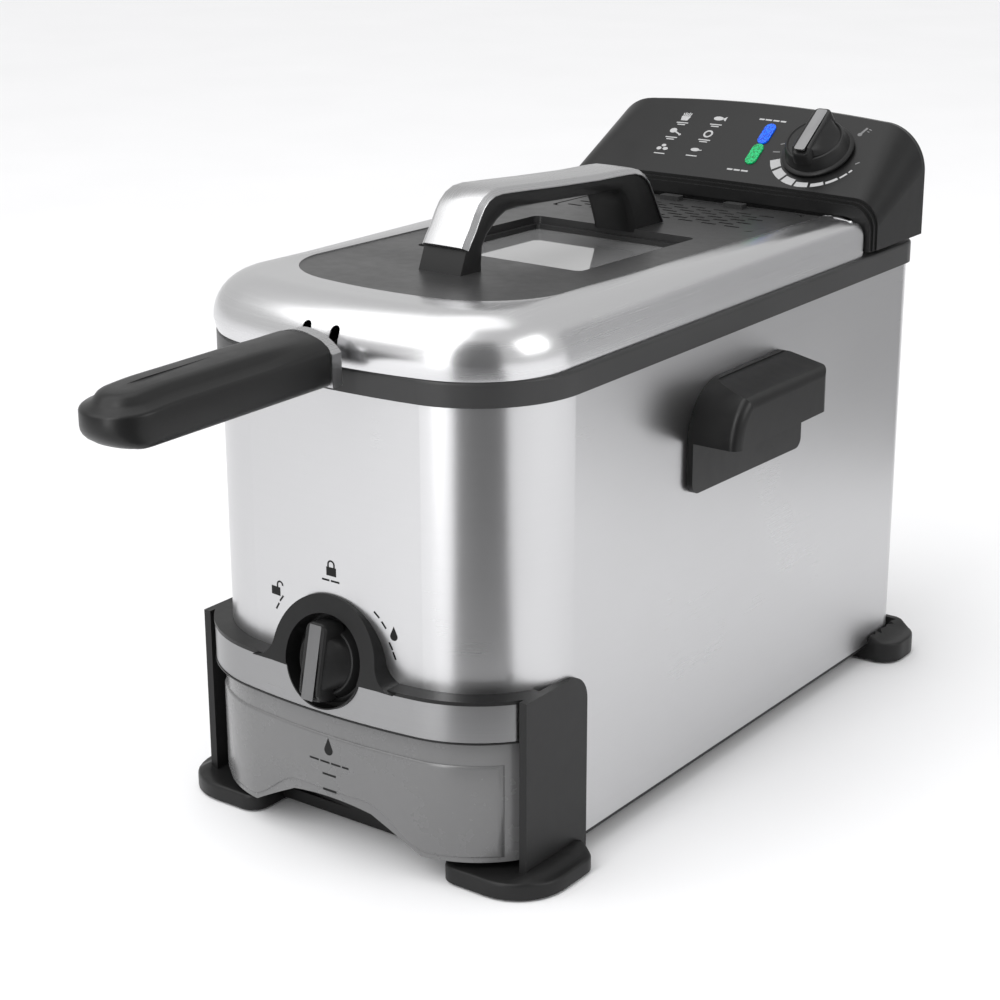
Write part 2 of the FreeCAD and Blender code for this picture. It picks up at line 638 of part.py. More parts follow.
def pull_cutter(grow):
    """Finger pull: an arch cut up into the bottom of the front."""
    half, high, low = dim("pull_half") + grow, dim("pull_high") + grow, dim("box_low") - 1
    middle = low + (high - low) * 0.62
    loop = [arc((-half, low), (-half * 0.74, low + (high - low) * 0.45), (-half * 0.45, high - 1.6)),
            arc((-half * 0.45, high - 1.6), (0, high + 0.6), (half * 0.45, high - 1.6)),
            arc((half * 0.45, high - 1.6), (half * 0.74, low + (high - low) * 0.45), (half, low)),
            line((half, low), (-half, low))]
    wire = Part.Wire(Part.__sortEdges__([edge.toShape() for edge in loop]))
    solid = Part.Face(wire).extrude(Vector(0, 0, 60))
    solid.Placement = Placement(Vector(0, depth(16 + grow), 0), Rotation(Vector(1, 0, 0), 90))
    return solid


def box_cover_plan(inset, low, high):
    """Plan of the oil box's mouth, moved inward by inset."""
    half, rear = dim("box_half") - inset, dim("box_rear") - inset
    plan = prism(body_outline(dim("box_front_out") - dim("box_wall") - inset), low, high)
    return plan.common(box(-half, half, -60, rear, low, high))


def well_solid(inset, low, high):
    return prism(rounded_rectangle((-26 + inset, depth(60 + inset)), (26 - inset, depth(106 - inset)),
                                   8 - inset), low, high)


def make_oil_box_lid():
    """Lid of the oil box, with a funnel well under the tank's drain."""
    level = dim("box_high")
    cover = box_cover_plan(0.4, level + 0.8, level + 2.6).fuse(well_solid(0, level - 13.2, level + 2.6))
    cover = cover.cut(well_solid(1.6, level - 12, level + 3))
    outlet = prism(rounded_rectangle((-19, depth(67)), (19, depth(99)), 4), level - 14, level)
    feature("oil_box_lid", cover.cut(outlet).removeSplitter())


def make_box_filter():
    """Removable filter screen that lies in the lid's well."""
    screen = Piece("box_filter")
    screen.pad([rounded_rectangle((-24, depth(62)), (24, depth(104)), 6)],
               "dims.box_high - 12", "dims.box_high - 10.4")
    holes = [circle((x, depth(y)), 1.1) for x in range(-15, 16, 5) for y in range(69, 99, 5)]
    screen.pocket(holes, "dims.box_high - 13", "dims.box_high - 10")


def make_box_seal():
    level = dim("box_high")
    ring = box_cover_plan(0.3, level, level + 0.8).cut(box_cover_plan(2.2, level - 1, level + 2))
    feature("box_seal", ring.removeSplitter())


# ---------------------------------------------------------------- control unit

def unit_section(distance, half, top, corner, crown, low):
    """Upright section across the control unit: rounded shoulders and a crowned top."""
    side_top = top - crown - corner
    shoulder = half - corner
    points = Part.Wire([
        Part.makeLine(Vector(-half, 0, low), Vector(half, 0, low)),
        Part.makeLine(Vector(half, 0, low), Vector(half, 0, side_top)),
        Part.Arc(Vector(half, 0, side_top),
                 Vector(shoulder + corner * math.cos(math.pi / 4), 0, side_top + corner * math.sin(math.pi / 4)),
                 Vector(shoulder, 0, side_top + corner)).toShape(),
        Part.Arc(Vector(shoulder, 0, side_top + corner), Vector(0, 0, top),
                 Vector(-shoulder, 0, side_top + corner)).toShape(),
        Part.Arc(Vector(-shoulder, 0, side_top + corner),
                 Vector(-shoulder - corner * math.cos(math.pi / 4), 0, side_top + corner * math.sin(math.pi / 4)),
                 Vector(-half, 0, side_top)).toShape(),
        Part.makeLine(Vector(-half, 0, side_top), Vector(-half, 0, low)),
    ])
    points.translate(Vector(0, depth(distance), 0))
    return points


def unit_solid(shrink, low, rear):
    """The control unit's outer volume, or its hollow when shrink is the wall."""
    half = dim("unit_half") - shrink
    front = unit_section(dim("unit_front") + shrink, half, dim("unit_front_top") - shrink, 14 - shrink / 2,
                         0.8, low)
    crest = unit_section(dim("unit_crest"), half, dim("unit_top") - shrink, 25 - shrink, 3.0, low)
    back = unit_section(rear, half, dim("unit_top") - 0.3 - shrink, 25 - shrink, 3.0, low)
    slope = Part.makeLoft([front, crest], True, True)
    tail = Part.makeLoft([crest, back], True, True)
    return slope.fuse(tail).removeSplitter()


def make_control_housing():
    low, wall = dim("unit_low"), dim("unit_wall")
    split = dim("unit_rear") - dim("cover_gauge")
    outer = unit_solid(0, low, split)
    rim_outer = Part.Face(unit_section(305.2, 96.4, 265.6, 13, 0.6, low)).extrude(Vector(0, 6.4, 0))
    rim_step = Part.Face(unit_section(308.0, 97.2, 267.2, 13.5, 0.7, low)).extrude(Vector(0, 4.0, 0))
    rim_hollow = Part.Face(unit_section(304.0, 91.0, 259.5, 10, 0.6, low - 1)).extrude(Vector(0, 7.2, 0))
    hollow = unit_solid(wall, low + wall, split + 1)
    shape = outer.fuse([rim_outer, rim_step]).cut(rim_hollow).cut(hollow)
    floor_slot = box(-26, 26, 356.5, 364.5, low - 1, low + wall + 1)
    tank_passage = box(-66, 66, 312.5, 346, low - 1, low + wall + 1)
    shape = shape.cut(floor_slot).cut(tank_passage)
    spindle = Part.makeCylinder(3.6, 30, Vector(0, 0, -15))
    spindle.Placement = on_panel(dim("dial_x"), dim("dial_depth"))
    shape = shape.cut(spindle)
    for spot in ("lamp_upper", "lamp_lower"):
        shape = shape.cut(lamp_solid(dim(spot), 0.1, -8, 4))
    feature("control_housing", shape.removeSplitter())


def lamp_solid(distance, grow, low, high):
    """A capsule lens that runs up the panel's slope."""
    radius, half = 3.3 + grow, dim("lamp_half")
    loop = [line((radius, -half), (radius, half)), corner_arc((0, half), radius, 0, 180),
            line((-radius, half), (-radius, -half)), corner_arc((0, -half), radius, 180, 360)]
    solid = prism(loop, low, high)
    solid.Placement = on_panel(dim("lamp_x"), distance)
    return solid


def make_lamps():
    for label, spot in (("power_lens", "lamp_upper"), ("ready_lens", "lamp_lower")):
        feature(label, lamp_solid(dim(spot), 0, -5.5, 0.7))


def make_control_back():
    """Cover over the back of the control unit."""
    half, top, low = dim("unit_half"), dim("unit_top"), dim("unit_low")
    split = dim("unit_rear") - dim("cover_gauge")
    inner = unit_section(split + 0.05, half, top - 0.3, 25, 3.0, low)
    outer = unit_section(dim("unit_rear"), half - 1.4, top - 1.7, 24, 3.0, low + 0.6)
    cover = Part.makeLoft([inner, outer], True, True)
    lip = Part.Face(unit_section(split - 3, half - 2.8, top - 3.2, 22, 3.0, low + 2.8)).extrude(Vector(0, 3.1, 0))
    lip_hollow = Part.Face(unit_section(split - 4, half - 5.0, top - 5.4, 20, 3.0, low + 5)).extrude(
        Vector(0, 4.1, 0))
    cover = cover.fuse(lip.cut(lip_hollow))
    cover = cover.cut(box(-58, -34, 350, 380, 246.5, 261.5)).cut(box(-26, 26, 350, split, 240, 250))
    button = Part.makeCylinder(3.4, 20, Vector(50, depth(355), 253), Vector(0, 1, 0))
    vents = [box(x, x + 2.4, 350, 380, 270, 286) for x in range(-52, 54, 8)]
    feature("control_back", cover.cut([button] + vents).removeSplitter())


def make_power_inlet():
    """Recessed socket with two contact pins, for a pull-away lead."""
    inlet = Piece("power_inlet")
    inlet.pad([rounded_rectangle((-57.9, 246.6), (-34.1, 261.4), 0.4)],
              "dims.front_datum + 355.5", "dims.front_datum + 366.6", "XZ_Plane")
    inlet.pocket([rounded_rectangle((-56.2, 248.2), (-35.8, 259.8), 1.8)],
                 "dims.front_datum + 357.5", "dims.front_datum + 368", "XZ_Plane")
    inlet.pad([circle((-52.2, 254), 1.5), circle((-39.8, 254), 1.5)],
              "dims.front_datum + 357.4", "dims.front_datum + 364", "XZ_Plane")


def make_reset_button():
    button = doc.addObject("Part::Cylinder", "reset_button")
    button.Label = "reset_button"
    button.Radius = 3.0
    button.setExpression("Height", "12.5")
    button.Placement = Placement(Vector(50, depth(355), 253), Rotation(Vector(1, 0, 0), -90))
    pieces.append(button)


def tube(path_points, radius, bend):
    """A round tube along straight runs joined by tangent arcs of one bend radius."""
    edges = []
    last = path_points[0]
    for before, corner, after in zip(path_points, path_points[1:], path_points[2:]):
        into, out = (corner - before).normalize(), (after - corner).normalize()
        half_turn = into.getAngle(out) / 2
        cut = bend * math.tan(half_turn)
        start, end = corner - into * cut, corner + out * cut
        centre_way = (out - into).normalize()
        centre = corner + centre_way * (bend / math.cos(half_turn))
        middle = centre - centre_way * bend
        edges.append(Part.makeLine(last, start))
        edges.append(Part.Arc(start, middle, end).toShape())
        last = end
    edges.append(Part.makeLine(last, path_points[-1]))
    path = Part.Wire(edges)
    first_way = (path_points[1] - path_points[0]).normalize()
    ring = Part.Wire(Part.makeCircle(radius, path_points[0], first_way))
    return path.makePipeShell([ring], True, False)


def make_heating_element():
    """Sheathed element: down from the control unit, forward along the tank and back."""
    low, high = 118.0, 250.0
    outer, inner, rear, front = 60.0, 26.0, 333.0, 40.0
    points = [Vector(outer - 6, depth(rear), high), Vector(outer - 6, depth(rear), low),
              Vector(outer, depth(front), low), Vector(inner, depth(front), low),
              Vector(inner, depth(250), low), Vector(-inner, depth(250), low),
              Vector(-inner, depth(front), low), Vector(-outer, depth(front), low),
              Vector(-outer + 6, depth(rear), low), Vector(-outer + 6, depth(rear), high)]
    feature("heating_element", tube(points, 3.6, 12.0))


def make_element_bracket():
    """Plate that hangs in the back of the tank and shields the element's legs."""
    plate = Piece("element_bracket")
    shape = polygon((-64, 126), (64, 126), (64, 238), (50, 247), (-50, 247), (-64, 238))
    plate.pad([shape], "dims.front_datum + 326", "dims.front_datum + 327.2", "XZ_Plane")
    flange = polygon((-62, 245.8), (62, 245.8), (62, 247), (-62, 247))
    plate.pad([flange], "dims.front_datum + 327.2", "dims.front_datum + 344", "XZ_Plane")
    holes = [circle((-54, depth(333)), 3.7), circle((54, depth(333)), 3.7), circle((40, depth(334)), 1.1)]
    plate.pocket(holes, "245", "248")


def make_thermostat():
    """Thermostat behind the dial, its sensing bulb in the tank and the capillary between."""
    body = Part.makeBox(26, 22, 14, Vector(-13, -11, -19))
    neck = Part.makeCylinder(5, 1.6, Vector(0, 0, -5.2))
    shape = body.fuse(neck).cut(Part.makeCylinder(3.1, 30, Vector(0, 0, -16)))
    feature("thermostat_body", shape.removeSplitter(), on_panel(dim("dial_x"), dim("dial_depth")))
    bulb = Part.makeCylinder(3, 70, Vector(40, depth(334), 134))
    capillary = Part.makeCylinder(1, 52, Vector(40, depth(334), 203))
    feature("thermostat_bulb", bulb.fuse(capillary).removeSplitter())


def make_safety_cutout():
    can = Part.makeCylinder(7, 6, Vector(-10, depth(336), 247.2))
    lugs = [Part.makeBox(1, 5, 7, Vector(x, depth(333.5), 253)) for x in (-14.5, -6.5)]
    feature("safety_cutout", can.fuse(lugs).removeSplitter())


def make_relay_board():
    """Circuit board with the relay that the reset button and the thermostat act on."""
    board = box(-30, 34, 349.5, 351.1, 256.6, 281)
    parts = [box(14, 30, 337, 349.6, 262, 276), box(-22, -10, 342, 349.6, 262, 270)]
    feature("relay_board", board.fuse(parts).removeSplitter())


def make_control_screws():
    screws = []
    for x, z in ((-84, 252), (84, 252), (-62, 290), (62, 290)):
        head = Part.makeCylinder(2.6, 1.5, Vector(x, depth(dim("unit_rear") + 0.05), z), Vector(0, 1, 0))
        screws.append(head)
    feature("control_screws", Part.makeCompound(screws))


def make_dial():
    """Thermostat dial: stepped round base, bar grip and steel strip."""
    radius = dim("dial_radius")
    place = on_panel(dim("dial_x"), dim("dial_depth"))
    knob = Piece("thermostat_knob")
    knob.pad([circle((0, 0), radius)], "0.6", "dims.dial_thick")
    knob.round(1.5, at_height(dim("dial_thick")))
    knob.pad([rounded_rectangle((-5.5, -17), (5.5, 17), 4)], "dims.dial_thick - 0.5", "dims.dial_grip - 0.2")
    knob.pocket([rounded_rectangle((-3.2, -15.6), (3.2, 15.6), 1.4)], "dims.dial_grip - 1.2", "dims.dial_grip")
    knob.pocket([circle((0, 0), 3.0)], "0", "13")
    knob.place(place)
    strip = Piece("dial_strip")
    strip.pad([rounded_rectangle((-3.1, -15.5), (3.1, 15.5), 1.3)], "dims.dial_grip - 1.2", "dims.dial_grip")
    strip.place(place)
    spindle = doc.addObject("Part::Cylinder", "dial_spindle")
    spindle.Label = "dial_spindle"
    spindle.Radius = 3.0
    spindle.Height = 28
    spindle.Placement = on_panel(dim("dial_x"), dim("dial_depth"), -15)
    pieces.append(spindle)


# ---------------------------------------------------------------- basket

def basket_loop(grow):
    half = dim("basket_half") + grow
    return rounded_rectangle((-half, depth(dim("basket_front")) - grow),
                             (half, depth(dim("basket_rear")) + grow), 26)


def make_fry_basket():
    """The mesh basket's outer shape: an open tub with a closed floor."""
    wall = dim("basket_wall")
    tub = Piece("fry_basket")
    tub.pad([basket_loop(0)], "dims.basket_low", "dims.basket_high")
    tub.round(10, at_height(dim("basket_low")))
    tub.pocket([basket_loop(-wall)], "dims.basket_low + 11", "dims.basket_high + 1")
    tub.pocket([basket_loop(-wall - 8)], "dims.basket_low + dims.basket_wall", "dims.basket_low + 11")


def make_basket_frame():
    """Rim wire of the basket, with the drip hook at its back."""
    rim = Piece("basket_frame")
    rim.pad([basket_loop(2.4), basket_loop(-1.0)], "dims.basket_high", "dims.basket_high + 3.6")
    rim.round(1.2, at_height(dim("basket_high") + 3.6))


def make_basket_bracket():
    """Two handle wires that rise from the basket and pass out under the lid's front."""
    start, level = dim("basket_front"), dim("wire_height")
    wires = []
    for x in (-dim("wire_half"), dim("wire_half")):
        upright = depth(start) - 4.6
        points = [Vector(x, upright, 176), Vector(x, upright, level),
                  Vector(x, depth(dim("handle_start")) - 7, level)]
        wires.append(tube(points, dim("wire"), 6.0))
    plate = box(-16, 16, start - 3.4, start - 0.1, 182, 212)
    feature("basket_bracket", wires[0].fuse([wires[1], plate]).removeSplitter())


def wire_holes():
    clearance = dim("wire") + 0.02
    return [circle((x, dim("wire_height")), clearance) for x in (-dim("wire_half"), dim("wire_half"))]


def make_basket_grip():
    """Cool-touch handle, crowned on top and rounded at its tip."""
    half, tip, start = dim("handle_half"), depth(dim("handle_tip")), depth(dim("handle_start"))
    low, high = dim("handle_low"), dim("handle_high")
    grip = Piece("basket_grip")
    loop = [line((half, start), (half, tip + 16)), corner_arc((half - 16, tip + 16), 16, 0, -90),
            line((half - 16, tip), (-half + 16, tip)), corner_arc((-half + 16, tip + 16), 16, -90, -180),
            line((-half, tip + 16), (-half, start)), line((-half, start), (half, start))]
    grip.pad([loop], "dims.handle_low", "dims.handle_high")

    def long_top(edge):
        return at_height(high)(edge) and centre_of(edge).y < start - 1
    grip.round(7.5, long_top, "Chamfer")
    grip.pocket(wire_holes(), "dims.front_datum + dims.handle_start - 9",
                "dims.front_datum + dims.handle_start + 1", "XZ_Plane")


def make_handle_collar():
    """Steel strap round the handle's lid end."""
    half, low, high = dim("handle_half") + 0.8, dim("handle_low") + 0.6, dim("handle_high") + 0.6
    collar = Piece("handle_collar")
    loop = [line((-half, low), (half, low)), line((half, low), (half, high - 8.2)),
            arc((half, high - 8.2), (0, high), (-half, high - 8.2)), line((-half, high - 8.2), (-half, low))]
    collar.pad([loop] + wire_holes(), "dims.front_datum + dims.handle_start",
               "dims.front_datum + dims.handle_start + 6.2", "XZ_Plane")


# ---------------------------------------------------------------- lid

def lid_solid(shrink):
    """The lid's outer volume, or its hollow when shrink is the sheet's gauge."""
    top = dim("lid_top") + 12
    solid = prism(lid_outline(-shrink), dim("lid_low") - (1 if shrink else 0), top)
    cutter = Part.makeBox(400, 600, 60, Vector(-200, -300, dim("lid_top") - shrink))
    cutter.Placement = LID_PLACE
    solid = solid.cut(cutter)
    rear = depth(dim("lid_rear"))
    top_edges = [e for e in solid.Edges if centre_of(e).z > dim("lid_top") - 8
                 and not is_vertical(e) and centre_of(e).y < rear - 4 and e.Length > 20]
    return solid.makeFillet(dim("lid_shoulder") - shrink, top_edges)


def make_lid_shell():
    gauge = dim("lid_gauge")
    outer, inner = lid_solid(0), lid_solid(gauge)
    opening = prism(insert_outline(0.15), 200, 300)
    shell = outer.cut(inner).cut(opening)
    notches = [box(-92.6, 92.6, dim("lid_rear") - 6, dim("lid_rear") + 2, dim("lid_low") - 1,
                   dim("lip_high") + 0.5)]
    for x in (-dim("wire_half"), dim("wire_half")):
        half, top = dim("wire") + 0.7, dim("wire_height") + 6
        slot = box(x - half, x + half, -40, 6, dim("lid_low") - 2, top)
        crown = Part.makeCylinder(half, 46, Vector(x, depth(-40), top), Vector(0, 1, 0))
        notches += [slot, crown]
    feature("lid_shell", shell.cut(notches).removeSplitter())


def window_loop(grow):
    return rounded_rectangle((-dim("window_half") - grow, depth(dim("window_front")) - grow),
                             (dim("window_half") + grow, depth(dim("window_rear")) + grow),
                             max(dim("window_corner") + grow, 1.5))


def grille_loop(grow, corner=6.0):
    return rounded_rectangle((-dim("grille_half") - grow, depth(dim("grille_front")) - grow),
                             (dim("grille_half") + grow, depth(dim("grille_rear")) + grow), corner + grow)


def make_lid_insert():
    """Black top panel: window well, filter opening and the lid's handle seats."""
    insert = Piece("lid_insert")
    # The opening's corners are tighter than the grille's, so the grille clears them as it swings.
    opening = grille_loop(0.6, 2.0)
    insert.pad([insert_outline(0), window_loop(0), opening],
               "dims.lid_top - dims.insert_thick", "dims.lid_top")
    insert.pad([window_loop(1.6), window_loop(0)],
               "dims.lid_top - dims.window_step", "dims.lid_top - dims.insert_thick")
    insert.pad([window_loop(1.6), window_loop(-2.2)],
               "dims.lid_top - dims.window_drop", "dims.lid_top - dims.window_step")
    insert.pad([window_loop(1.6), window_loop(0)],
               "dims.lid_top - dims.window_drop - dims.glass_thick", "dims.lid_top - dims.window_drop")
    insert.pad([window_loop(1.6), window_loop(-4)],
               "dims.lid_top - dims.window_drop - dims.glass_thick - 1.2",
               "dims.lid_top - dims.window_drop - dims.glass_thick")
    surround = grille_loop(2.0, 2.0)
    insert.pad([surround, opening], "dims.lid_top - 5", "dims.lid_top - dims.insert_thick")
    insert.pad([surround, grille_loop(-3)], "dims.lid_top - 6.2", "dims.lid_top - 5")
    insert.place(LID_PLACE)


def make_window_glass():
    glass = Piece("window_glass")
    glass.pad([window_loop(-0.1)], "dims.lid_top - dims.window_drop - dims.glass_thick",
              "dims.lid_top - dims.window_drop")
    glass.place(LID_PLACE)


def make_inner_pan():
    """Pressed inner skin of the lid, with openings under the window and the filter."""
    pan = Piece("lid_inner_pan")
    inset = 11.5
    skin = bowed_outline(dim("lid_half") - inset, depth(dim("lid_front")) + inset + 2,
                         depth(dim("lid_rear")) - 8, 40, 250, 6)
    pan.pad([skin, window_loop(-3), grille_loop(-4)], "245", "246")
    rim = bowed_outline(dim("lid_half") - inset + 1, depth(dim("lid_front")) + inset + 1,
                        depth(dim("lid_rear")) - 7, 41, 251, 7)
    pan.pad([rim, skin], "243.2", "246")
    pan.pocket([rounded_rectangle((-14, depth(-30)), (14, depth(6)), 3)], "243", "247")


def make_lid_gasket():
    """Rubber ring that seats on the tank's lip."""
    gasket = Piece("lid_gasket")
    outer = bowed_outline(84.4, depth(-10.4), depth(297), 42, 252, 8)
    inner = bowed_outline(80.4, depth(-6.4), depth(292), 38, 248, 5)
    gasket.pad([outer, inner], "dims.lip_high + 0.4", "243.2")


def handle_band(front, rear, outset, depth_below):
    """Side view of the lid handle: legs that lean in and a bar that falls to the back.

    outset moves the outer line inward; depth_below is the bar's thickness under it.
    """
    level = dim("lid_top")
    high_front = level + dim("grip_top") - outset
    high_rear = high_front - dim("grip_fall")
    outer = [(depth(front + outset), level), (depth(front + 17 + outset), high_front),
             (depth(rear - 13 - outset), high_rear), (depth(rear - outset), level)]
    inner = [(depth(rear - 27), level), (depth(rear - 33), high_rear - depth_below),
             (depth(front + 28), high_front - depth_below), (depth(front + 15), level)]
    return outer, inner


def extrude_side(points, half):
    """A solid across the fryer from a side view of depth and height."""
    wire = Part.Wire(Part.__sortEdges__([edge.toShape() for edge in polygon(*points)]))
    solid = Part.Face(wire).extrude(Vector(0, 0, 2 * half))
    solid.Placement = Placement(Vector(-half, 0, 0), Rotation(Vector(1, 1, 1), 120))
    return solid


def knees(solid, above):
    """The edges across the handle at its bends."""
    return [e for e in solid.Edges if e.BoundBox.XLength > 10 and e.BoundBox.YLength < 0.01
            and centre_of(e).z > dim("lid_top") + above]


def make_lid_handle():
    """Black core with a brushed steel cap over it."""
    half, gauge = dim("grip_half"), 1.5
    front, rear = dim("grip_front"), dim("grip_rear")
    outer, inner = handle_band(front, rear, gauge, 8.0)
    core = extrude_side(outer + inner, half - 1.0)
    core = core.makeFillet(6.0, knees(core, 12))
    feature("lid_handle_core", core.removeSplitter(), LID_PLACE)
    skin_outer = extrude_side(handle_band(front, rear, 0.0, 8.0)[0], half)
    skin_inner = extrude_side(outer, half)
    skin_outer = skin_outer.makeFillet(7.5, knees(skin_outer, 12))
    skin_inner = skin_inner.makeFillet(6.0, knees(skin_inner, 12))
    cap = skin_outer.cut(skin_inner).cut(box(-40, 40, 0, 400, 0, dim("lid_top") + 8))
    feature("lid_handle_cap", cap.removeSplitter(), LID_PLACE)
    spots = [(x, depth(y)) for x in (-7, 7) for y in (front + 8, rear - 12)]
    screws = Part.makeCompound(cylinders(spots, 2.8, dim("lid_top") - 5, dim("lid_top") - 3))
    feature("lid_handle_screws", screws, LID_PLACE)


def make_filter_grille():
    """Slotted cover over the vapour filter, opened by two tabs at its back."""
    top = "dims.lid_top"
    grille = Piece("filter_grille")
    grille.pad([grille_loop(0)], f"{top} - 2.4", f"{top} - 0.2")
    slots = []
    for row, y in enumerate(range(247, 288, 6)):
        shift = 7 if row % 2 else 0
        for x in range(-56 + shift, 48, 14):
            slots.append(rounded_rectangle((x, depth(y)), (x + 9, depth(y) + 2.4), 1.15))
    grille.pocket(slots, f"{top} - 3", f"{top} + 1")
    for x in (-20, 20):
        grille.pad([rounded_rectangle((x - 6, depth(dim("grille_rear")) - 6), (x + 6, depth(dim("grille_rear"))), 1)],
                   f"{top} - 0.2", f"{top} + 2.2")
    grille.place(LID_PLACE)


def make_lid_filter():
    pad = Piece("lid_filter")
    half, rear = dim("grille_half") - 1, depth(dim("grille_rear")) - 1
    pad.pad([rounded_rectangle((-half, depth(dim("grille_front")) + 8), (half, rear), 5)],
            "dims.lid_top - 4.7", "dims.lid_top - 2.8")
    pad.place(LID_PLACE)


# ---------------------------------------------------------------- build

make_outer_housing()
make_base_pan()
make_rim_collar()
make_front_frame()
make_fascia_strip()
make_feet()
make_side_handles()
make_divider_shelf()
make_control_bracket()
make_base_screws()
make_filter_knob()
make_knob_shaft()
make_drain_gate()
make_oil_tank()
make_valve_body()
make_drain_strainer()
make_oil_box()
make_oil_box_lid()
make_box_filter()
make_box_seal()
make_control_housing()
make_lamps()
make_control_back()
make_power_inlet()
make_reset_button()
make_heating_element()
make_element_bracket()
make_thermostat()
make_safety_cutout()
make_relay_board()
make_control_screws()
make_dial()
make_fry_basket()
make_basket_frame()
make_basket_bracket()
make_basket_grip()
make_handle_collar()
make_lid_shell()
make_lid_insert()
make_window_glass()
make_inner_pan()
make_lid_gasket()
make_lid_handle()
make_filter_grille()
make_lid_filter()

doc.recompute()
for obj in doc.Objects:
    bad = [state for state in obj.State if state in ("Invalid", "Error")]
    if bad:
        raise RuntimeError(f"{obj.Name} is {bad}")
for obj in pieces:
    if obj.Shape.isNull() or not obj.Shape.isValid():
        raise RuntimeError(f"{obj.Label} has no valid shape")

os.makedirs("parts", exist_ok=True)
for obj in pieces:
    obj.Shape.exportStep(f"parts/{obj.Label}.step")
print(len(pieces), "sub-parts written")
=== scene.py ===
import math
import bpy
import bmesh
from mathutils import Matrix, Vector
from mathutils.bvhtree import BVHTree


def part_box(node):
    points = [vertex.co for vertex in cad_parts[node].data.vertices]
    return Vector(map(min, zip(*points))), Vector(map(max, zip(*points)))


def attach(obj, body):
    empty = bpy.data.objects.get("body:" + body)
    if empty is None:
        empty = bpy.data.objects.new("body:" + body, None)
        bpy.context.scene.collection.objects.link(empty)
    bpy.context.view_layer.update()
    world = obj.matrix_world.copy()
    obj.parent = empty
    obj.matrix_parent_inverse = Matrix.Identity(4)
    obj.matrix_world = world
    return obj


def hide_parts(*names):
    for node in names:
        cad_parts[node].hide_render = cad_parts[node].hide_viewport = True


# Deep fryer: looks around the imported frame. Lengths below are millimetres in the row frame,
# turned to metres when a mesh is made. A depth is a distance behind the lower cheeks' front edge.

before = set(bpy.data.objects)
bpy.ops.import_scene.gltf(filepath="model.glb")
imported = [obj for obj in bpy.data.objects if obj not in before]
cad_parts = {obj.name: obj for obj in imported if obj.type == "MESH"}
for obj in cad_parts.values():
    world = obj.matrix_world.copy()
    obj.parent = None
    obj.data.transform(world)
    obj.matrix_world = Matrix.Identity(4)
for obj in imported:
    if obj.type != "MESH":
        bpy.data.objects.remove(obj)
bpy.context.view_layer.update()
MM = 0.001
DATUM = -104.0


def box_mm(node):
    low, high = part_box(node)
    return low / MM, high / MM


def at(x, depth, z):
    return (x, depth + DATUM, z)


def mix(a, b, t):
    return a + (b - a) * t


def smooth(t):
    t = min(1.0, max(0.0, t))
    return t * t * (3 - 2 * t)


def ramp(value, pairs):
    """Piecewise-linear value from (key, result) pairs in rising key order."""
    if value <= pairs[0][0]:
        return pairs[0][1]
    for (k0, v0), (k1, v1) in zip(pairs, pairs[1:]):
        if value <= k1:
            return mix(v0, v1, (value - k0) / (k1 - k0))
    return pairs[-1][1]


# ------------------------------------------------------------------ materials

STEEL_BLUE, GREY_BLUE = 1.012, 1.01     # blue over red in steels and in neutral greys
HAIRLINE_TURN = 0.25                    # the highlight is drawn out across the hairlines


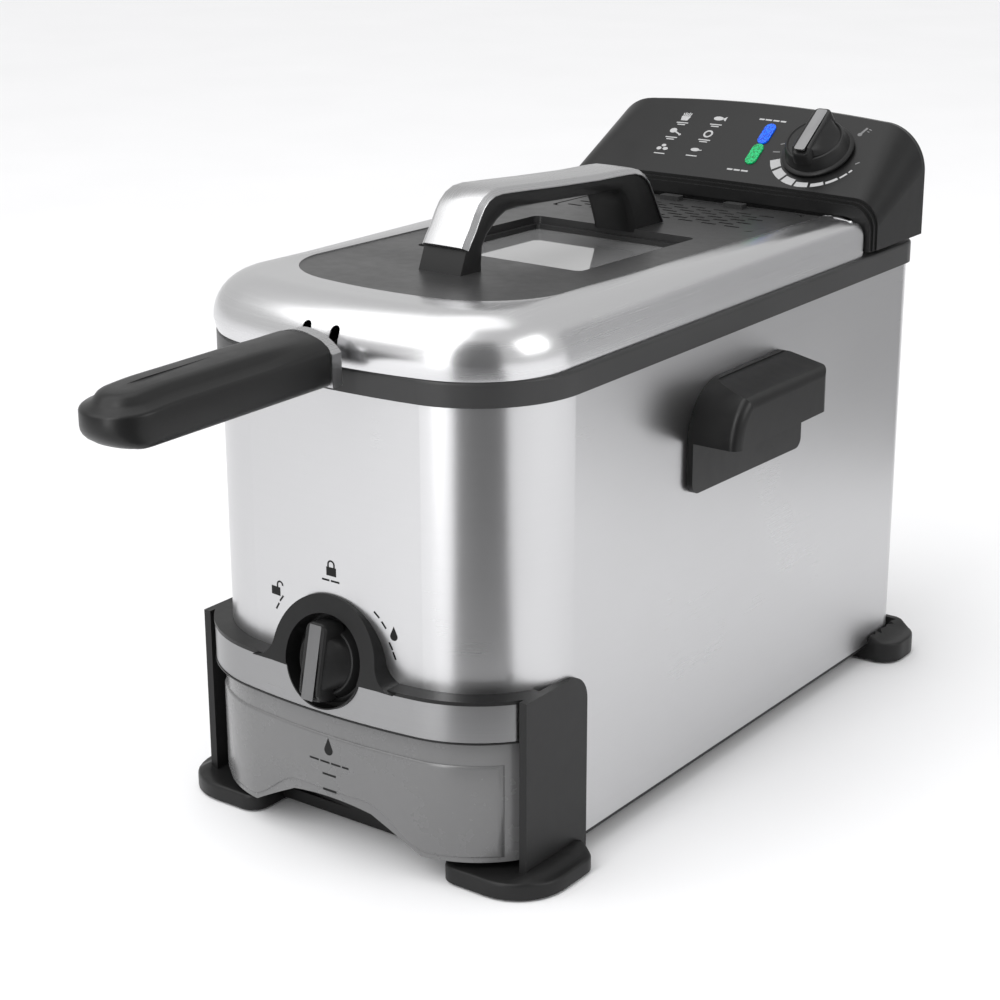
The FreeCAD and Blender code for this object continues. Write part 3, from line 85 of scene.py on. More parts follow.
class Nodes:
    """A small builder for one procedural material."""

    def __init__(self, name):
        self.material = bpy.data.materials.new(name)
        self.material.use_nodes = True
        self.tree = self.material.node_tree
        self.shader = next(n for n in self.tree.nodes if n.type == "BSDF_PRINCIPLED")
        self.coords = self.tree.nodes.new("ShaderNodeTexCoord")

    def add(self, kind, **values):
        node = self.tree.nodes.new(kind)
        for key, value in values.items():
            if hasattr(node, key):
                setattr(node, key, value)
            else:
                node.inputs[key].default_value = value
        return node

    def link(self, source, target):
        self.tree.links.new(source, target)

    def feed(self, socket, value):
        """Links another node's output to a socket, or sets the socket to a plain value."""
        if isinstance(value, bpy.types.NodeSocket):
            self.link(value, socket)
        else:
            socket.default_value = value

    def scaled(self, scale):
        mapping = self.add("ShaderNodeMapping")
        mapping.inputs["Scale"].default_value = scale
        self.link(self.coords.outputs["Object"], mapping.inputs["Vector"])
        return mapping.outputs["Vector"]

    def noise(self, scale, detail=4.0, stretch=(1, 1, 1), roughness=0.55):
        node = self.add("ShaderNodeTexNoise")
        node.inputs["Scale"].default_value = scale
        node.inputs["Detail"].default_value = detail
        node.inputs["Roughness"].default_value = roughness
        self.link(self.scaled(stretch), node.inputs["Vector"])
        return node.outputs["Fac"]

    def spread(self, value, low, high, start=0.3, end=0.7):
        node = self.add("ShaderNodeMapRange")
        node.inputs["From Min"].default_value = start
        node.inputs["From Max"].default_value = end
        node.inputs["To Min"].default_value = low
        node.inputs["To Max"].default_value = high
        self.link(value, node.inputs["Value"])
        return node.outputs["Result"]

    def blend(self, fac, a, b):
        """Mixes two colours; a mix node keeps its colour sockets at inputs 6 and 7 and output 2."""
        node = self.add("ShaderNodeMix", data_type="RGBA")
        for socket, value in ((node.inputs[0], fac), (node.inputs[6], a), (node.inputs[7], b)):
            self.feed(socket, value)
        return node.outputs[2]

    def maths(self, operation, a, b):
        node = self.add("ShaderNodeMath", operation=operation)
        for socket, value in zip(node.inputs, (a, b)):
            self.feed(socket, value)
        return node.outputs[0]

    def steel_colour(self, tone):
        """A metal colour from one value, slightly cool."""
        colour = self.add("ShaderNodeCombineColor")
        self.link(tone, colour.inputs[0])
        self.link(tone, colour.inputs[1])
        self.link(self.maths("MULTIPLY", tone, STEEL_BLUE), colour.inputs[2])
        return colour.outputs[0]

    def bump(self, height, strength, distance, under=None):
        node = self.add("ShaderNodeBump")
        node.inputs["Strength"].default_value = strength
        node.inputs["Distance"].default_value = distance
        self.link(height, node.inputs["Height"])
        if under is not None:
            self.link(under, node.inputs["Normal"])
        return node.outputs["Normal"]

    def finish(self, colour=None, roughness=None, normal=None, **constants):
        for socket, value in (("Base Color", colour), ("Roughness", roughness), ("Normal", normal)):
            if value is not None:
                self.link(value, self.shader.inputs[socket])
        for socket, value in constants.items():
            self.shader.inputs[socket.replace("_", " ")].default_value = value
        return self.material


def grey(level):
    return (level, level, level * GREY_BLUE, 1)


def brushed(name, level, rough, stretch, anisotropic, grain=0.12, contrast=0.06):
    """Stainless sheet with fine hairlines along one direction, broader streaks and faint smudges."""
    n = Nodes(name)
    lines = n.noise(1.0, 8, stretch, 0.7)
    broad = n.noise(1.0, 3, tuple(s * 0.12 for s in stretch), 0.5)
    cloud = n.noise(14, 3)
    hair = n.maths("ADD", n.maths("MULTIPLY", lines, 0.7), n.maths("MULTIPLY", broad, 0.3))
    colour = n.steel_colour(n.spread(hair, level * (1 - contrast), level * (1 + contrast)))
    shine = n.maths("ADD", n.spread(hair, rough - contrast, rough + contrast), n.spread(cloud, -0.015, 0.03))
    return n.finish(colour, shine, n.bump(hair, grain, 0.00012), Metallic=1.0,
                    Anisotropic=anisotropic, Anisotropic_Rotation=HAIRLINE_TURN)


def brushed_lid(name, level, rough):
    """Steel whose hairlines run round the skirt and front to back over the top."""
    n = Nodes(name)
    around = n.noise(1.0, 8, (4, 4, 2600), 0.7)
    along = n.noise(1.0, 8, (2400, 4, 4), 0.7)
    geometry = n.add("ShaderNodeNewGeometry")
    split = n.add("ShaderNodeSeparateXYZ")
    n.link(geometry.outputs["Normal"], split.inputs[0])
    flatness = n.spread(n.maths("ABSOLUTE", split.outputs[2], 0), 0, 1, 0.75, 0.97)
    hair = n.add("ShaderNodeMix", data_type="FLOAT")
    n.link(flatness, hair.inputs[0])
    n.link(around, hair.inputs[2])
    n.link(along, hair.inputs[3])
    hair = hair.outputs[0]
    cloud = n.noise(9, 3)
    colour = n.steel_colour(n.spread(hair, level * 0.975, level * 1.025))
    shine = n.maths("ADD", n.spread(hair, rough - 0.015, rough + 0.02), n.spread(cloud, -0.01, 0.02))
    return n.finish(colour, shine, n.bump(hair, 0.025, 0.0001), Metallic=1.0,
                    Anisotropic=0.3, Anisotropic_Rotation=HAIRLINE_TURN)


def moulded(name, level, rough, grain=0.1, grain_scale=1500, specular=0.5, coat=0.0, vary=1.0):
    """Moulded plastic: fine texture, flow variation and slightly polished patches.

    vary scales the unevenness in tone and shine.
    """
    n = Nodes(name)
    fine = n.noise(grain_scale, 2)
    cloud = n.noise(22, 4)
    drift = n.noise(160, 3)
    colour = n.blend(n.spread(cloud, 0, 1), grey(level * (1 - 0.12 * vary)),
                     grey(level * (1 + 0.12 * vary)))
    colour = n.blend(n.spread(drift, 0, 0.25 * vary), colour, grey(level * 1.25))
    shine = n.maths("ADD", n.spread(cloud, rough - 0.04 * vary, rough + 0.05 * vary),
                    n.spread(drift, -0.02 * vary, 0.03 * vary))
    normal = n.bump(fine, grain, 0.0001, n.bump(cloud, 0.015 * vary, 0.0006))
    return n.finish(colour, shine, normal, Specular_IOR_Level=specular, Coat_Weight=coat,
                    Coat_Roughness=0.2)


def lens(name, colour, glow, strength):
    """Lamp cap with a cell pattern behind it, softly lit."""
    n = Nodes(name)
    cells = n.add("ShaderNodeTexVoronoi")
    cells.inputs["Scale"].default_value = 1300
    n.link(n.scaled((1, 1, 1)), cells.inputs["Vector"])
    spots = n.spread(cells.outputs["Distance"], 1.0, 0.0, 0.1, 0.75)
    tint = n.blend(spots, colour, glow)
    n.link(tint, n.shader.inputs["Emission Color"])
    return n.finish(tint, n.spread(spots, 0.12, 0.3, 0, 1), n.bump(spots, 0.25, 0.0002),
                    Emission_Strength=strength, Specular_IOR_Level=0.3)


def printed(name, level):
    """Screen-printed ink, slightly uneven."""
    n = Nodes(name)
    speck = n.noise(2600, 3)
    return n.finish(n.blend(n.spread(speck, 0, 1), grey(level * 0.8), grey(level)),
                    n.spread(speck, 0.5, 0.65), n.bump(speck, 0.1, 0.00005), Specular_IOR_Level=0.15)


# Steels: tone, roughness, noise scale along x, y and z (large across the hairlines), then drawn-out
# highlight, hairline relief and hairline contrast.
STEEL_BODY = brushed("steel_body", 0.58, 0.29, (2.5, 2.5, 3200), 0.6, 0.012, 0.012)
STEEL_LID = brushed_lid("steel_lid", 0.66, 0.25)
STEEL_TRIM = brushed("steel_trim", 0.30, 0.30, (5, 5, 2200), 0.5, 0.04, 0.03)
STEEL_STRIP = brushed("steel_strip", 0.50, 0.27, (1500, 8, 8), 0.3, 0.04, 0.05)
STEEL_MARK = brushed("steel_mark", 0.20, 0.30, (1500, 8, 8), 0.3, 0.04, 0.05)
STEEL_INNER = brushed("steel_inner", 0.55, 0.32, (8, 8, 900), 0.2)
STEEL_SCREW = brushed("steel_screw", 0.42, 0.34, (300, 300, 300), 0.0)
STEEL_WIRE = brushed("steel_wire", 0.68, 0.2, (700, 700, 700), 0.0)
# Plastics and rubber: tone, roughness, grain relief, grain scale, specular level, coat, unevenness.
PLASTIC = moulded("plastic_black", 0.011, 0.38, 0.1, 1500, 0.25)
PLASTIC_SOFT = moulded("plastic_handle", 0.008, 0.36, 0.12, 1100, 0.28)
PLASTIC_RIM = moulded("plastic_rim", 0.03, 0.36, 0.1, 1500, 0.3)
PLASTIC_PANEL = moulded("plastic_panel", 0.009, 0.34, 0.16, 1300, 0.25)
PLASTIC_LID = moulded("plastic_lid", 0.027, 0.34, 0.08, 1700, 0.35)
PLASTIC_BOX = moulded("plastic_box", 0.125, 0.27, 0.02, 900, 0.5, 0.3, 0.2)
RUBBER = moulded("rubber", 0.02, 0.7, 0.3, 700, 0.3)
BOARD = moulded("board", 0.06, 0.35, 0.1, 500)
LENS_BLUE = lens("lens_blue", (0.0, 0.02, 0.28, 1), (0.0, 0.14, 0.80, 1), 0.75)
LENS_GREEN = lens("lens_green", (0.0, 0.12, 0.03, 1), (0.0, 0.42, 0.14, 1), 0.75)
INK_WHITE = printed("ink_white", 0.46)
INK_BLACK = printed("ink_black", 0.012)
INK_GREY = printed("ink_grey", 0.2)


def make_glass():
    n = Nodes("smoked_glass")
    haze = n.noise(30, 4)
    smear = n.noise(6, 3, (1, 9, 1))
    colour = n.blend(n.spread(haze, 0, 1), grey(0.36), grey(0.41))
    return n.finish(colour, n.spread(smear, 0.03, 0.07), n.bump(haze, 0.01, 0.0002),
                    Transmission_Weight=0.35, IOR=1.5, Specular_IOR_Level=0.9, Coat_Weight=0.8,
                    Coat_Roughness=0.03)


def make_element_metal():
    n = Nodes("element_sheath")
    heat = n.noise(18, 5)
    fine = n.noise(900, 3)
    colour = n.blend(n.spread(heat, 0, 1), (0.10, 0.085, 0.08, 1), (0.24, 0.21, 0.2, 1))
    return n.finish(colour, n.spread(heat, 0.35, 0.55), n.bump(fine, 0.2, 0.0001), Metallic=0.9)


def make_felt():
    n = Nodes("filter_felt")
    fibre = n.noise(700, 8, (1, 1, 1), 0.8)
    weave = n.add("ShaderNodeTexVoronoi")
    weave.inputs["Scale"].default_value = 420
    n.link(n.scaled((1, 1.6, 1)), weave.inputs["Vector"])
    height = n.maths("ADD", fibre, weave.outputs["Distance"])
    return n.finish(n.blend(n.spread(fibre, 0, 1), grey(0.03), grey(0.09)), n.spread(fibre, 0.85, 1.0),
                    n.bump(height, 0.7, 0.0006), Sheen_Weight=0.3)


GLASS, ELEMENT, FELT = make_glass(), make_element_metal(), make_felt()

NODE_LOOKS = {
    "base_pan": PLASTIC, "base_screws": STEEL_SCREW, "outer_housing": STEEL_BODY,
    "rim_collar": PLASTIC_RIM, "front_frame": PLASTIC, "fascia_strip": STEEL_TRIM,
    "foot_pads": RUBBER, "side_handle_left": PLASTIC_SOFT, "side_handle_right": PLASTIC_SOFT,
    "handle_screws": STEEL_SCREW, "divider_shelf": STEEL_INNER, "control_bracket": STEEL_INNER,
    "front_foot_left": PLASTIC, "front_foot_right": PLASTIC, "rear_foot_left": PLASTIC,
    "rear_foot_right": PLASTIC, "filter_knob": PLASTIC, "knob_strip": STEEL_MARK,
    "knob_shaft": STEEL_SCREW, "lock_cam": PLASTIC, "drain_gate": PLASTIC, "oil_tank": STEEL_INNER,
    "valve_body": PLASTIC, "drain_strainer": STEEL_INNER, "oil_box": PLASTIC_BOX,
    "oil_box_lid": PLASTIC_LID, "box_filter": STEEL_INNER, "box_seal": RUBBER,
    "control_housing": PLASTIC_PANEL, "control_back": PLASTIC_PANEL, "control_screws": STEEL_SCREW,
    "power_inlet": PLASTIC, "power_lens": LENS_BLUE, "ready_lens": LENS_GREEN,
    "heating_element": ELEMENT, "element_bracket": STEEL_INNER, "thermostat_body": PLASTIC_LID,
    "thermostat_bulb": STEEL_STRIP, "safety_cutout": STEEL_SCREW, "relay_board": BOARD,
    "thermostat_knob": PLASTIC, "dial_strip": STEEL_MARK, "dial_spindle": STEEL_SCREW,
    "reset_button": PLASTIC_RIM, "fry_basket": STEEL_WIRE, "basket_frame": STEEL_WIRE,
    "basket_bracket": STEEL_WIRE, "basket_grip": PLASTIC_SOFT, "handle_collar": STEEL_STRIP,
    "lid_shell": STEEL_LID, "lid_insert": PLASTIC_LID, "window_glass": GLASS,
    "lid_inner_pan": STEEL_INNER, "lid_gasket": RUBBER, "lid_handle_core": PLASTIC_SOFT,
    "lid_handle_cap": STEEL_STRIP, "lid_handle_screws": STEEL_SCREW, "lid_filter": FELT,
    "filter_grille": PLASTIC_LID,
}


def wear(mesh, look):
    mesh.materials.clear()
    mesh.materials.append(look)


for node, look in NODE_LOOKS.items():
    wear(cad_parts[node].data, look)

# ------------------------------------------------------------------ mesh helpers


MERGE = 1e-6        # metres: points this close are one point


def new_mesh(name, verts, faces, merge):
    """A mesh from millimetre points in the row frame, its normals outward."""
    mesh = bpy.data.meshes.new(name)
    mesh.from_pydata([Vector(v) * MM for v in verts], [], faces)
    work = bmesh.new()
    work.from_mesh(mesh)
    if merge:
        bmesh.ops.remove_doubles(work, verts=work.verts, dist=MERGE)
    bmesh.ops.recalc_face_normals(work, faces=work.faces)
    work.to_mesh(mesh)
    work.free()
    return mesh


def shade(mesh, sharp):
    """Smooth shading that breaks at edges above an angle in degrees."""
    mesh.polygons.foreach_set("use_smooth", [True] * len(mesh.polygons))
    mesh.set_sharp_from_angle(angle=math.radians(sharp))


def add_piece(name, shape, body, look, replaces, sharp):
    """A visible piece from a shape's millimetre points and faces."""
    mesh = new_mesh(name, *shape, merge=True)
    obj = bpy.data.objects.new(name, mesh)
    bpy.context.scene.collection.objects.link(obj)
    wear(mesh, look)
    shade(mesh, sharp)
    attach(obj, body)
    if replaces:
        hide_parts(*replaces)
    return obj


def loft(rings, capped=False):
    """A shape, as points and faces: quads between closed rings of equal length."""
    count = len(rings[0])
    verts = [point for ring in rings for point in ring]
    faces = []
    for i in range(len(rings) - 1):
        for j in range(count):
            k = (j + 1) % count
            faces.append((i * count + j, i * count + k, (i + 1) * count + k, (i + 1) * count + j))
    if capped:
        faces.append(tuple(reversed(range(count))))
        faces.append(tuple((len(rings) - 1) * count + j for j in range(count)))
    return verts, faces


def join(*parts):
    """Several shapes as one."""
    verts, faces = [], []
    for part_verts, part_faces in parts:
        shift = len(verts)
        verts += part_verts
        faces += [tuple(i + shift for i in face) for face in part_faces]
    return verts, faces


def swing(centre, radius, start, end, count):
    """Points on an arc, its last point left out."""
    return [(centre[0] + radius * math.cos(math.radians(mix(start, end, i / count))),
             centre[1] + radius * math.sin(math.radians(mix(start, end, i / count))))
            for i in range(count)]


def straight(start, end, count):
    """Points on a line, its last point left out."""
    return [(mix(start[0], end[0], i / count), mix(start[1], end[1], i / count)) for i in range(count)]


def bowed(half, front, rear, corner, bow, rear_corner):
    """Plan with a bowed front, as (x, depth) points: rear edge, right side, front, left side.

    corner, bow and rear_corner are radii; the bow meets each corner without a kink.
    """
    centre_x, bow_y = half - corner, front + bow
    centre_y = bow_y - math.sqrt((bow - corner) ** 2 - centre_x ** 2)
    heading = math.degrees(math.atan2(centre_y - bow_y, centre_x))
    inner = half - rear_corner
    return (straight((-inner, rear), (inner, rear), 120)
            + swing((inner, rear - rear_corner), rear_corner, 90, 0, 6)
            + straight((half, rear - rear_corner), (half, centre_y), 36)
            + swing((centre_x, centre_y), corner, 0, heading, 26)
            + swing((0, bow_y), bow, heading, -180 - heading, 36)
            + swing((-centre_x, centre_y), corner, -180 - heading, -180, 26)
            + straight((-half, centre_y), (-half, rear - rear_corner), 36)
            + swing((-inner, rear - rear_corner), rear_corner, 180, 90, 6))


def corners(low, high, radii, steps=8):
    """Rectangle with its own radius at each corner, from (low, low) round by (high, low)."""
    (x0, y0), (x1, y1) = low, high
    a, b, c, d = radii
    return (straight((x0 + a, y0), (x1 - b, y0), 6) + swing((x1 - b, y0 + b), b, -90, 0, steps)
            + straight((x1, y0 + b), (x1, y1 - c), 6) + swing((x1 - c, y1 - c), c, 0, 90, steps)
            + straight((x1 - c, y1), (x0 + d, y1), 6) + swing((x0 + d, y1 - d), d, 90, 180, steps)
            + straight((x0, y1 - d), (x0, y0 + a), 6) + swing((x0 + a, y0 + a), a, 180, 270, steps))


def inward(loop):
    """Unit vectors that point into a closed plan loop."""
    area = sum(a[0] * b[1] - b[0] * a[1] for a, b in zip(loop, loop[1:] + loop[:1]))
    side = 1 if area > 0 else -1
    result = []
    for i in range(len(loop)):
        before, after = loop[i - 1], loop[(i + 1) % len(loop)]
        dx, dy = after[0] - before[0], after[1] - before[1]
        size = math.hypot(dx, dy) or 1.0
        result.append((-dy / size * side, dx / size * side))
    return result


def tube(points, radius, sides=8, closed=False):
    """A round wire along points, with frames carried along it."""
    points = [Vector(p) for p in points]
    rings = []
    normal = None
    total = len(points)
    for i, point in enumerate(points):
        if closed:
            way = (points[(i + 1) % total] - points[i - 1]).normalized()
        else:
            way = (points[min(i + 1, total - 1)] - points[max(i - 1, 0)]).normalized()
        if normal is None:
            normal = way.orthogonal().normalized()
        normal = (normal - way * normal.dot(way)).normalized()
        other = way.cross(normal)
        rings.append([tuple(point + (normal * math.cos(a) + other * math.sin(a)) * radius)
                      for a in (2 * math.pi * k / sides for k in range(sides))])
    if closed:
        return loft(rings + [rings[0]])
    return loft(rings, capped=True)


def cut_with(obj, cutter_parts):
    """Cuts closed shapes out of a piece and keeps the result as its mesh."""
    cutter = bpy.data.objects.new("cutter", new_mesh("cutter", *join(*cutter_parts), merge=False))
    bpy.context.scene.collection.objects.link(cutter)
    modifier = obj.modifiers.new("cut", "BOOLEAN")
    modifier.operation, modifier.object, modifier.solver = "DIFFERENCE", cutter, "EXACT"
    graph = bpy.context.evaluated_depsgraph_get()
    graph.update()
    made = bpy.data.meshes.new_from_object(obj.evaluated_get(graph))
    obj.modifiers.clear()
    obj.data = made
    bpy.data.objects.remove(cutter)


def soften(obj, width, angle):
    """Rounds the edges above an angle, by a width in millimetres."""
    bevel = obj.modifiers.new("edges", "BEVEL")
    bevel.width, bevel.segments = width * MM, 2
    bevel.limit_method, bevel.angle_limit = "ANGLE", math.radians(angle)
    return bevel


# ------------------------------------------------------------------ lid

lid_low, lid_high = box_mm("lid_shell")
LID_HALF, LID_REAR, LID_FOOT = lid_high.x, lid_high.y - DATUM, lid_low.z
LID_FALL = math.tan(math.radians(1.3))
LID_TOP, LID_TOP_DEPTH = 263.4, 60      # the top's height, and the depth where it is that high
LID_GAUGE = 0.9
LID_FOOT_LEAN = 1.2                     # how far the skirt spreads at the bowed front
LID_FLANGE = 2.2                        # the inner edge turned down under the insert
SHOULDER_STEPS = 10


def lid_level(depth):
    """Height of the lid's top surface, which falls to the back."""
    return LID_TOP - (depth - LID_TOP_DEPTH) * LID_FALL


def make_lid_skin():
    """Pressed steel lid: upright skirt, broad shoulder and a level band up to the insert."""
    plan = bowed(half=LID_HALF, front=-22.6, rear=LID_REAR, corner=50, bow=260, rear_corner=3)
    ways = inward(plan)
    inner = bowed(half=71.5, front=13.5, rear=LID_REAR - 1.2, corner=46.5, bow=200, rear_corner=3)
    lean = [smooth((40 - y) / 50) for _, y in plan]
    radii = [mix(8, 1, smooth((LID_HALF - 4 - abs(x)) / 12)) if y > LID_REAR - 0.1
             else ramp(y, [(60, 20), (200, 12), (300, 8)]) for x, y in plan]

    def sink(x, y):
        """The rear edge passes below the black insert instead of in front of it."""
        return 3.4 * smooth((y - LID_REAR + 2.4) / 1.0) * smooth((73.2 - abs(x)) / 1.6)

    tops = [lid_level(y) - sink(x, y) for x, y in plan]

    def ring(shift, rise):
        """One ring of the skin: shift(radius, tilt) goes inward, rise(radius, top) is its height."""
        points = []
        for (x, y), (wx, wy), radius, top, tilt in zip(plan, ways, radii, tops, lean):
            inset = shift(radius, tilt)
            points.append(at(x + wx * inset, y + wy * inset, rise(radius, top)))
        return points

    rings = [ring(lambda r, t: 1.0, lambda r, top: LID_FOOT),
             ring(lambda r, t: 0.0, lambda r, top: LID_FOOT)]
    for share in (0.25, 0.6):
        rings.append(ring(lambda r, t, s=share: -LID_FOOT_LEAN * t * s,
                          lambda r, top, s=share: mix(LID_FOOT, top - r, s)))
    for step in range(SHOULDER_STEPS + 1):
        angle = math.radians(90 * step / SHOULDER_STEPS)
        rings.append(ring(lambda r, t, a=angle: r * (1 - math.cos(a)) - LID_FOOT_LEAN * t * math.cos(a),
                          lambda r, top, a=angle: top - r * (1 - math.sin(a))))
    last = rings[-1]
    for share in (0.3, 0.6, 0.85, 1.0):
        row = []
        for (ax, ay, _), (bx, by) in zip(last, inner):
            x, y = mix(ax, bx, share), mix(ay - DATUM, by, share)
            row.append(at(x, y, lid_level(y) - sink(x, y) + 0.25 * math.sin(math.pi * share)))
        rings.append(row)
    rings.append([at(x, y, lid_level(y) - sink(x, y) - LID_FLANGE) for x, y in inner])
    lid = add_piece("lid_skin", loft(rings), "lid", STEEL_LID, ["lid_shell"], 50)
    shell = lid.modifiers.new("gauge", "SOLIDIFY")
    shell.thickness, shell.offset = LID_GAUGE * MM, -1
    slots = []
    wide, arch = 2.5, 254.4     # the two handle-wire slots: half width and the arch's centre height
    for x in (-8, 8):
        loop = [(x - wide, 230), (x + wide, 230), (x + wide, arch)]
        loop += [(x + wide * math.cos(math.radians(a)), arch + wide * math.sin(math.radians(a)))
                 for a in range(20, 180, 20)] + [(x - wide, arch)]
        slots.append(loft([[at(px, y, pz) for px, pz in loop] for y in (-60, 6)], capped=True))
    notch = [(-91, 236), (91, 236), (91, 241.6), (-91, 241.6)]
    slots.append(loft([[at(px, y, pz) for px, pz in notch] for y in (LID_REAR - 8, LID_REAR + 6)],
                      capped=True))
    cut_with(lid, slots)
    shade(lid.data, 40)


make_lid_skin()

# The handle cap's lower edge in the side view, front to back, as (depth, height).
HANDLE_LINE = [(67, 274), (69.8, 278), (73, 282), (77, 288.3), (80, 292), (83.4, 294.6), (88, 296.2),
               (94, 296.5), (110, 295.3), (138, 293), (174, 290.4), (198, 289.4), (207, 288.7),
               (213, 287), (217.6, 284.4), (221, 281.4), (226, 273.5), (231, 265), (234.4, 259.6)]


def handle_frames():
    """Points along the cap's lower edge with the outward normal in the side view."""
    result = []
    for i, (y, z) in enumerate(HANDLE_LINE):
        y0, z0 = HANDLE_LINE[max(0, i - 1)]
        y1, z1 = HANDLE_LINE[min(len(HANDLE_LINE) - 1, i + 1)]
        size = math.hypot(y1 - y0, z1 - z0)
        result.append((y, z, -(z1 - z0) / size, (y1 - y0) / size))
    return result


def make_lid_handle():
    """Steel cap over a black core; the core's rings run between an outer and an inner side line."""
    cap_rings = []
    section = [(13.5, 0.0), (13.5, 0.5), (11.2, 2.8), (10.4, 3.0), (0, 3.15), (-10.4, 3.0), (-11.2, 2.8),
               (-13.5, 0.5), (-13.5, 0.0), (-12.3, 0.0), (0, 0.6), (12.3, 0.0)]
    for y, z, ny, nz in handle_frames():
        cap_rings.append([at(x, y + ny * out, z + nz * out) for x, out in section])
    cap = add_piece("lid_handle_strap", loft(cap_rings, capped=True), "lid", STEEL_STRIP,
                    ["lid_handle_cap"], 28)
    soften(cap, 0.35, 28)
    inner_line = [(79.5, 262.3), (79.2, 266), (80.2, 274), (84, 279.2), (88, 282), (91.5, 284.4), (95, 286),
                  (99, 287.5), (108, 288), (140, 286), (174, 283.9), (188, 283), (194, 281.4), (198, 278.6),
                  (201, 275.4), (203, 272), (205.5, 266), (207.5, 261), (208, 258.5)]
    outer_line = [(62, 262.3)] + HANDLE_LINE[:17] + [(235.6, 258.2)]
    half = 12.6
    core_rings = []
    for (yo, zo), (yi, zi) in zip(outer_line, inner_line):
        length = math.hypot(yo - yi, zo - zi)
        uy, uz = (yi - yo) / length, (zi - zo) / length
        edge = min(2.6, length * 0.3)
        row = []
        for x, along in ((12.2, -0.3), (12.4, 0.8), (half, length - edge),
                         (half - edge * 0.3, length - edge * 0.3), (half - edge, length),
                         (0, length + 0.3), (-half + edge, length),
                         (-half + edge * 0.3, length - edge * 0.3), (-half, length - edge),
                         (-12.4, 0.8), (-12.2, -0.3)):
            row.append(at(x, yo + uy * along, zo + uz * along))
        core_rings.append(row)
    add_piece("lid_handle_bar", loft(core_rings, capped=True), "lid", PLASTIC_SOFT,
              ["lid_handle_core"], 50)


make_lid_handle()

# ------------------------------------------------------------------ basket handle

grip_low, grip_high = box_mm("basket_grip")


def make_basket_handle():
    """Cool-touch handle: flat sides, a narrow shelf, a crowned top and a round tip."""
    start, tip, half = grip_high.y - DATUM, grip_low.y - DATUM, grip_high.x
    floor, top = grip_low.z, grip_high.z
    top_profile = [(0, top - 7.4), (0.5, top - 6.5), (1.4, top - 5.9), (4.6, top - 4.6), (5.8, top - 3.4),
                   (7.4, top - 1.4), (8.8, top - 0.5), (11, top - 0.1), (16.2, top)]
    bottom_profile = [(16.2, floor), (6, floor + 0.1), (3, floor + 0.6), (1.2, floor + 1.7), (0.3, floor + 3.2),
                      (0, floor + 5)]

    def outline(inset):
        reach, centre = half - inset, tip + half
        side = [(reach, mix(start, centre, (i / 22) ** 0.8)) for i in range(22)]
        nose = [(reach * math.cos(math.radians(a)), centre + reach * math.sin(math.radians(a)))
                for a in range(0, -181, -9)]
        return side + nose + [(-x, y) for x, y in reversed(side)]

    def arch(x):
        return top - 7.6 + 7.7 * math.sqrt(max(0.0, 1 - (x / (half + 0.1)) ** 2))

    rings = []
    for inset, height in bottom_profile:
        ring = []
        for x, y in outline(inset):
            lift = 7.0 * smooth((tip + 14 - y) / 22) * smooth(1 - inset / 14)
            ring.append(at(x, y, height + lift))
        rings.append(ring)
    for inset, height in top_profile:
        ring = []
        for x, y in outline(inset):
            near = smooth((y + 78) / 34)
            drop = 1.6 * smooth((tip + 34 - y) / 34)
            ring.append(at(x, y, mix(height - drop, arch(x), near)))
        rings.append(ring)
    add_piece("basket_handle", loft(rings, capped=True), "basket", PLASTIC_SOFT,
              ["basket_grip"], 60)


make_basket_handle()

# ------------------------------------------------------------------ wire basket

basket_low, basket_high = box_mm("fry_basket")
WEAVE, FLOOR_HOOP, WALL_HOOP, RIM_HOOP = 0.55, 1.1, 1.2, 1.7    # wire radii


